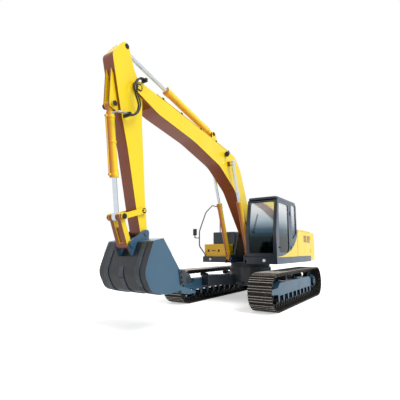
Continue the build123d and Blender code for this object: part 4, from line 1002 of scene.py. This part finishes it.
class EXCAVATOR_OT_stage(bpy.types.Operator):
    """Make the floor, the soft light and the camera at the photograph's viewpoint"""

    bl_idname = "excavator.stage"
    bl_label = "Studio and camera"

    def execute(self, context):
        colours = context.scene.excavator_colours
        context.scene.view_settings.view_transform = "Standard"
        look = Vector(
            (
                math.sin(CAMERA_YAW) * math.cos(CAMERA_PITCH),
                math.cos(CAMERA_YAW) * math.cos(CAMERA_PITCH),
                math.sin(CAMERA_PITCH),
            )
        )
        camera = bpy.data.objects.new("camera", bpy.data.cameras.new("camera"))
        context.scene.collection.objects.link(camera)
        camera.location = CAMERA_PLACE
        camera.rotation_mode = "QUATERNION"
        camera.rotation_quaternion = look.to_track_quat("-Z", "Y")
        camera.data.lens = CAMERA_LENS
        camera.data.sensor_width = CAMERA_SENSOR
        camera.data.clip_end = 500
        context.scene.camera = camera

        bm = bmesh.new()
        bmesh.ops.create_circle(bm, cap_ends=True, segments=96, radius=180)
        mesh = bpy.data.meshes.new("floor")
        bm.to_mesh(mesh)
        bm.free()
        floor = bpy.data.objects.new("floor", mesh)
        context.scene.collection.objects.link(floor)
        finish, tree, shader, _ = new_finish("studio_floor")
        shader.inputs["Base Color"].default_value = rgba(colours.floor)
        shader.inputs["Roughness"].default_value = 0.9
        shader.inputs["Specular IOR Level"].default_value = 0.0
        shader.inputs["Emission Color"].default_value = (1, 1, 1, 1)
        ray = add_node(tree, "ShaderNodeLightPath")
        glow = reckon(tree, "MULTIPLY", ray.outputs["Is Camera Ray"], 0.5)
        tree.links.new(glow, shader.inputs["Emission Strength"])
        mesh.materials.append(finish)

        world = bpy.data.worlds.new("studio")
        context.scene.world = world
        world.use_nodes = True
        tree = world.node_tree
        tree.nodes.clear()
        ray = add_node(tree, "ShaderNodeLightPath")
        seen = reckon(tree, "MAXIMUM", ray.outputs["Is Camera Ray"], ray.outputs["Is Glossy Ray"])
        seen = reckon(tree, "MAXIMUM", seen, ray.outputs["Is Transmission Ray"])
        level = spread(tree, seen, 0.0, 1.0, 0.5, 1.0)
        back = add_node(tree, "ShaderNodeBackground", {"Color": (1, 1, 1, 1), "Strength": level})
        add_node(tree, "ShaderNodeOutputWorld", {"Surface": back.outputs["Background"]})

        for name, direction, strength, spread_angle in (
            ("key_sun", (0.8, -0.1, 1.0), 2.1, 35.0),
            ("fill_sun", (-0.5, 0.7, 0.6), 0.5, 40.0),
        ):
            sun = bpy.data.lights.new(name, "SUN")
            sun.energy = strength
            sun.angle = math.radians(spread_angle)
            lamp = bpy.data.objects.new(name, sun)
            context.scene.collection.objects.link(lamp)
            lamp.rotation_mode = "QUATERNION"
            lamp.rotation_quaternion = (-Vector(direction)).to_track_quat("-Z", "Y")
        return {"FINISHED"}


class EXCAVATOR_OT_paint(bpy.types.Operator):
    """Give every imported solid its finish"""

    bl_idname = "excavator.paint"
    bl_label = "Paints and finishes"

    def execute(self, context):
        for finish, names in NODE_FINISHES.items():
            for name in names:
                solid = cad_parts[name]
                for slot in solid.material_slots:
                    slot.material = finish_of(finish)
                if not solid.material_slots:
                    raise RuntimeError(f"{name} has no material slot")
        return {"FINISHED"}


class EXCAVATOR_OT_tracks(bpy.types.Operator):
    """Make the tracks' shoes, links and pins"""

    bl_idname = "excavator.tracks"
    bl_label = "Tracks"

    def execute(self, context):
        high = LINK_HEIGHT / 2 + SHOE_PLATE - 0.001
        for name, side in (("left", 1), ("right", -1)):
            places = shoe_places(side)
            shoe, tips = track_shoe()
            shoes = repeat(f"track_shoes_{name}", shoe, places, "undercarriage", "track")
            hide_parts(f"track_{name}")
            repeat(f"grouser_tips_{name}", tips, places, "undercarriage", "worn")
            repeat(f"track_links_{name}", track_link(), places, "undercarriage", "steel")
            bolts = []
            for place, turn in places:
                spin = Matrix.Rotation(turn[0], 3, "X")
                for across in (-0.0575, 0.0575):
                    for along in (-0.055, -0.137):
                        bolts.append((place + spin @ Vector((across, along, high)), turn))
            head = hexagon_bolt(0.026, 0.012)
            repeat(f"shoe_bolts_{name}", head, bolts, "undercarriage", "track")
        return {"FINISHED"}


class EXCAVATOR_OT_boom(bpy.types.Operator):
    """Make the pipes, clamps, hoses, pin caps and gland rings of the boom, arm and cylinders"""

    bl_idname = "excavator.boom_trim"
    bl_label = "Boom and arm trim"

    def execute(self, context):
        boom_pipes()
        arm_hoses(context.scene.excavator_sizes.hose / 2)
        pin_caps()
        cylinder_trim()
        return {"FINISHED"}


class EXCAVATOR_OT_bucket(bpy.types.Operator):
    """Make the bucket's wear straps, side cutters and bolts"""

    bl_idname = "excavator.bucket_trim"
    bl_label = "Bucket trim"

    def execute(self, context):
        curve = [(-5.239, 1.588), (-5.331, 1.365), (-5.442, 1.058)]
        curve += [(-5.256, 0.727), (-4.85, 0.646), (-4.48, 0.678)]
        line = rounded(curve, (0, 0.39, 0.265, 0.265, 0.4, 0))
        straps = bmesh.new()
        for middle in (-0.385, 0.0, 0.385):
            # The middle strap starts below the place where the link's foot comes down
            run = line if middle else [point for point in line if point.y < 1.25]
            add_band(straps, run, 0.02, middle - 0.055, middle + 0.055)
        piece("bucket_straps", straps, "bucket", "strap")
        cutters, bolts = bmesh.new(), []
        outline = [(-4.5, 1.09), (-4.34, 1.075), (-4.13, 0.965), (-4.09, 0.85)]
        outline += [(-4.21, 0.815), (-4.33, 0.79), (-4.44, 0.8)]
        for side in (-1, 1):
            add_prism(cutters, outline, *sorted((side * 0.575, side * 0.597)))
            for y, z in ((-4.44, 1.04), (-4.43, 0.94), (-4.41, 0.85)):
                turn = Vector((side, 0, 0)).to_track_quat("Z", "Y").to_euler()
                bolts.append((Vector((side * 0.596, y, z)), turn))
        piece("side_cutters", cutters, "bucket", "strap", 0.005)
        width = context.scene.excavator_sizes.bolt
        repeat("cutter_bolts", hexagon_bolt(width, width / 2), bolts, "bucket", "steel")
        return {"FINISHED"}


class EXCAVATOR_OT_body(bpy.types.Operator):
    """Make the louvres, latches, lock, roof nubs and drive bolts of the body"""

    bl_idname = "excavator.body_trim"
    bl_label = "Body trim"

    def execute(self, context):
        for name, side in (("left", 1), ("right", -1)):
            door = f"side_door_{name}"
            # The louvres are wholly in painted shade: the brown stands in for the shade between the slats
            piece(f"louvres_{name}", louvres(side), door, "brown", 0.002, 1)
        latch = bmesh.new()
        for x in (-1.162, -0.789):
            add_box(latch, (x - 0.026, -0.611, 1.417), (x + 0.026, -0.596, 1.493))
        add_box(latch, (-1.045, -0.611, 1.45), (-0.91, -0.596, 1.472))
        piece("tool_box_latches", latch, "upper", "steel", 0.004)
        lock = bmesh.new()
        add_rod(lock, (UPPER_HALF - 0.003, 0.11, 1.63), (UPPER_HALF + 0.006, 0.11, 1.63), 0.017, 20)
        piece("side_lock", lock, "upper", "plastic", 0.002)
        nubs = bmesh.new()
        for y in (-0.82, 0.15):
            add_rod(nubs, (1.26, y, 2.938), (1.26, y, 2.96), 0.03, 20, 0.024)
        piece("roof_nubs", nubs, "upper", "plastic", 0.003)
        bolts = []
        y, z = TUMBLER_SPAN / 2, TRACK_HEIGHT / 2
        face = reach("final_drives", y, z, 0.22) - 0.001
        for side in (-1, 1):
            bolts += bolt_ring((side * face, y, z), (side, 0, 0), 0.12, 10)
        repeat("drive_bolts", hexagon_bolt(0.03, 0.016), bolts, "undercarriage", "steel")
        return {"FINISHED"}


class EXCAVATOR_OT_cab(bpy.types.Operator):
    """Make the cab's seals, wiper, handle and padded seat"""

    bl_idname = "excavator.cab_trim"
    bl_label = "Cab trim"

    def execute(self, context):
        left, right, foot, knee, top = 0.566, 1.259, 1.376, 1.9, 2.787
        front, rear = -1.268, -1.072
        edge = [(left, front, foot), (right, front, foot), (right, front, knee), (right, rear, top)]
        edge += [(left, rear, top), (left, front, knee), (left, front, foot)]
        seal = context.scene.excavator_sizes.seal / 2
        pipe("windscreen_seal", edge, seal, "upper", "rubber", 3, 2)
        bar = bmesh.new()
        add_box(bar, (left, front - 0.006, knee - 0.009), (right, front + 0.003, knee + 0.009))
        add_box(bar, (0.66, front - 0.02, knee + 0.03), (0.72, front - 0.002, knee + 0.09))
        add_rod(bar, (0.69, front - 0.014, knee + 0.06), (0.79, front + 0.095, knee + 0.56), 0.007, 10)
        piece("screen_bar_and_wiper", bar, "upper", "plastic", 0.002)
        squab = cushion("seat_squab", (0.68, -0.46, 1.61), (1.15, 0.03, 1.75))
        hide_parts("seat")
        cushion("seat_back", (0.69, 0.02, 1.72), (1.14, 0.19, 2.22))
        cushion("seat_head", (0.79, 0.06, 2.25), (1.04, 0.18, 2.43))
        base = bmesh.new()
        add_box(base, (0.74, -0.36, 1.33), (1.09, 0.14, 1.6))
        add_box(base, (0.80, 0.10, 1.55), (1.03, 0.20, 2.3))
        piece("seat_base", base, "upper", "plastic", 0.015)
        handle = bmesh.new()
        add_box(handle, (1.345, -1.07, 1.52), (1.372, -0.93, 1.56))
        # The dark plate behind the door's glass
        add_box(handle, (1.302, -0.68, 2.47), (1.319, -0.58, 2.67))
        piece("door_handle", handle, "cab_door", "plastic", 0.006)
        return {"FINISHED"}


class EXCAVATOR_PT_sidebar(bpy.types.Panel):
    """Buttons, colours and sizes of the excavator"""

    bl_idname = "EXCAVATOR_PT_sidebar"
    bl_label = "Crawler excavator"
    bl_space_type = "VIEW_3D"
    bl_region_type = "UI"
    bl_category = "Excavator"

    def draw(self, context):
        for operator in OPERATORS:
            self.layout.operator(operator.bl_idname)
        for group in (context.scene.excavator_colours, context.scene.excavator_sizes):
            for key in group.bl_rna.properties.keys():
                if key not in ("rna_type", "name"):
                    self.layout.prop(group, key)


OPERATORS = (
    EXCAVATOR_OT_stage,
    EXCAVATOR_OT_paint,
    EXCAVATOR_OT_tracks,
    EXCAVATOR_OT_boom,
    EXCAVATOR_OT_bucket,
    EXCAVATOR_OT_body,
    EXCAVATOR_OT_cab,
)
CLASSES = (ExcavatorColours, ExcavatorSizes, *OPERATORS, EXCAVATOR_PT_sidebar)


def register():
    """Register the classes and hang the settings on the scene."""
    for entry in CLASSES:
        bpy.utils.register_class(entry)
    bpy.types.Scene.excavator_colours = bpy.props.PointerProperty(type=ExcavatorColours)
    bpy.types.Scene.excavator_sizes = bpy.props.PointerProperty(type=ExcavatorSizes)


def unregister():
    """Take the settings and classes away again."""
    del bpy.types.Scene.excavator_colours
    del bpy.types.Scene.excavator_sizes
    for entry in reversed(CLASSES):
        bpy.utils.unregister_class(entry)


def main():
    """Run every operator in turn."""
    register()
    for operator in OPERATORS:
        group, name = operator.bl_idname.split(".")
        getattr(getattr(bpy.ops, group), name)()


if __name__ == "__main__":
    main()
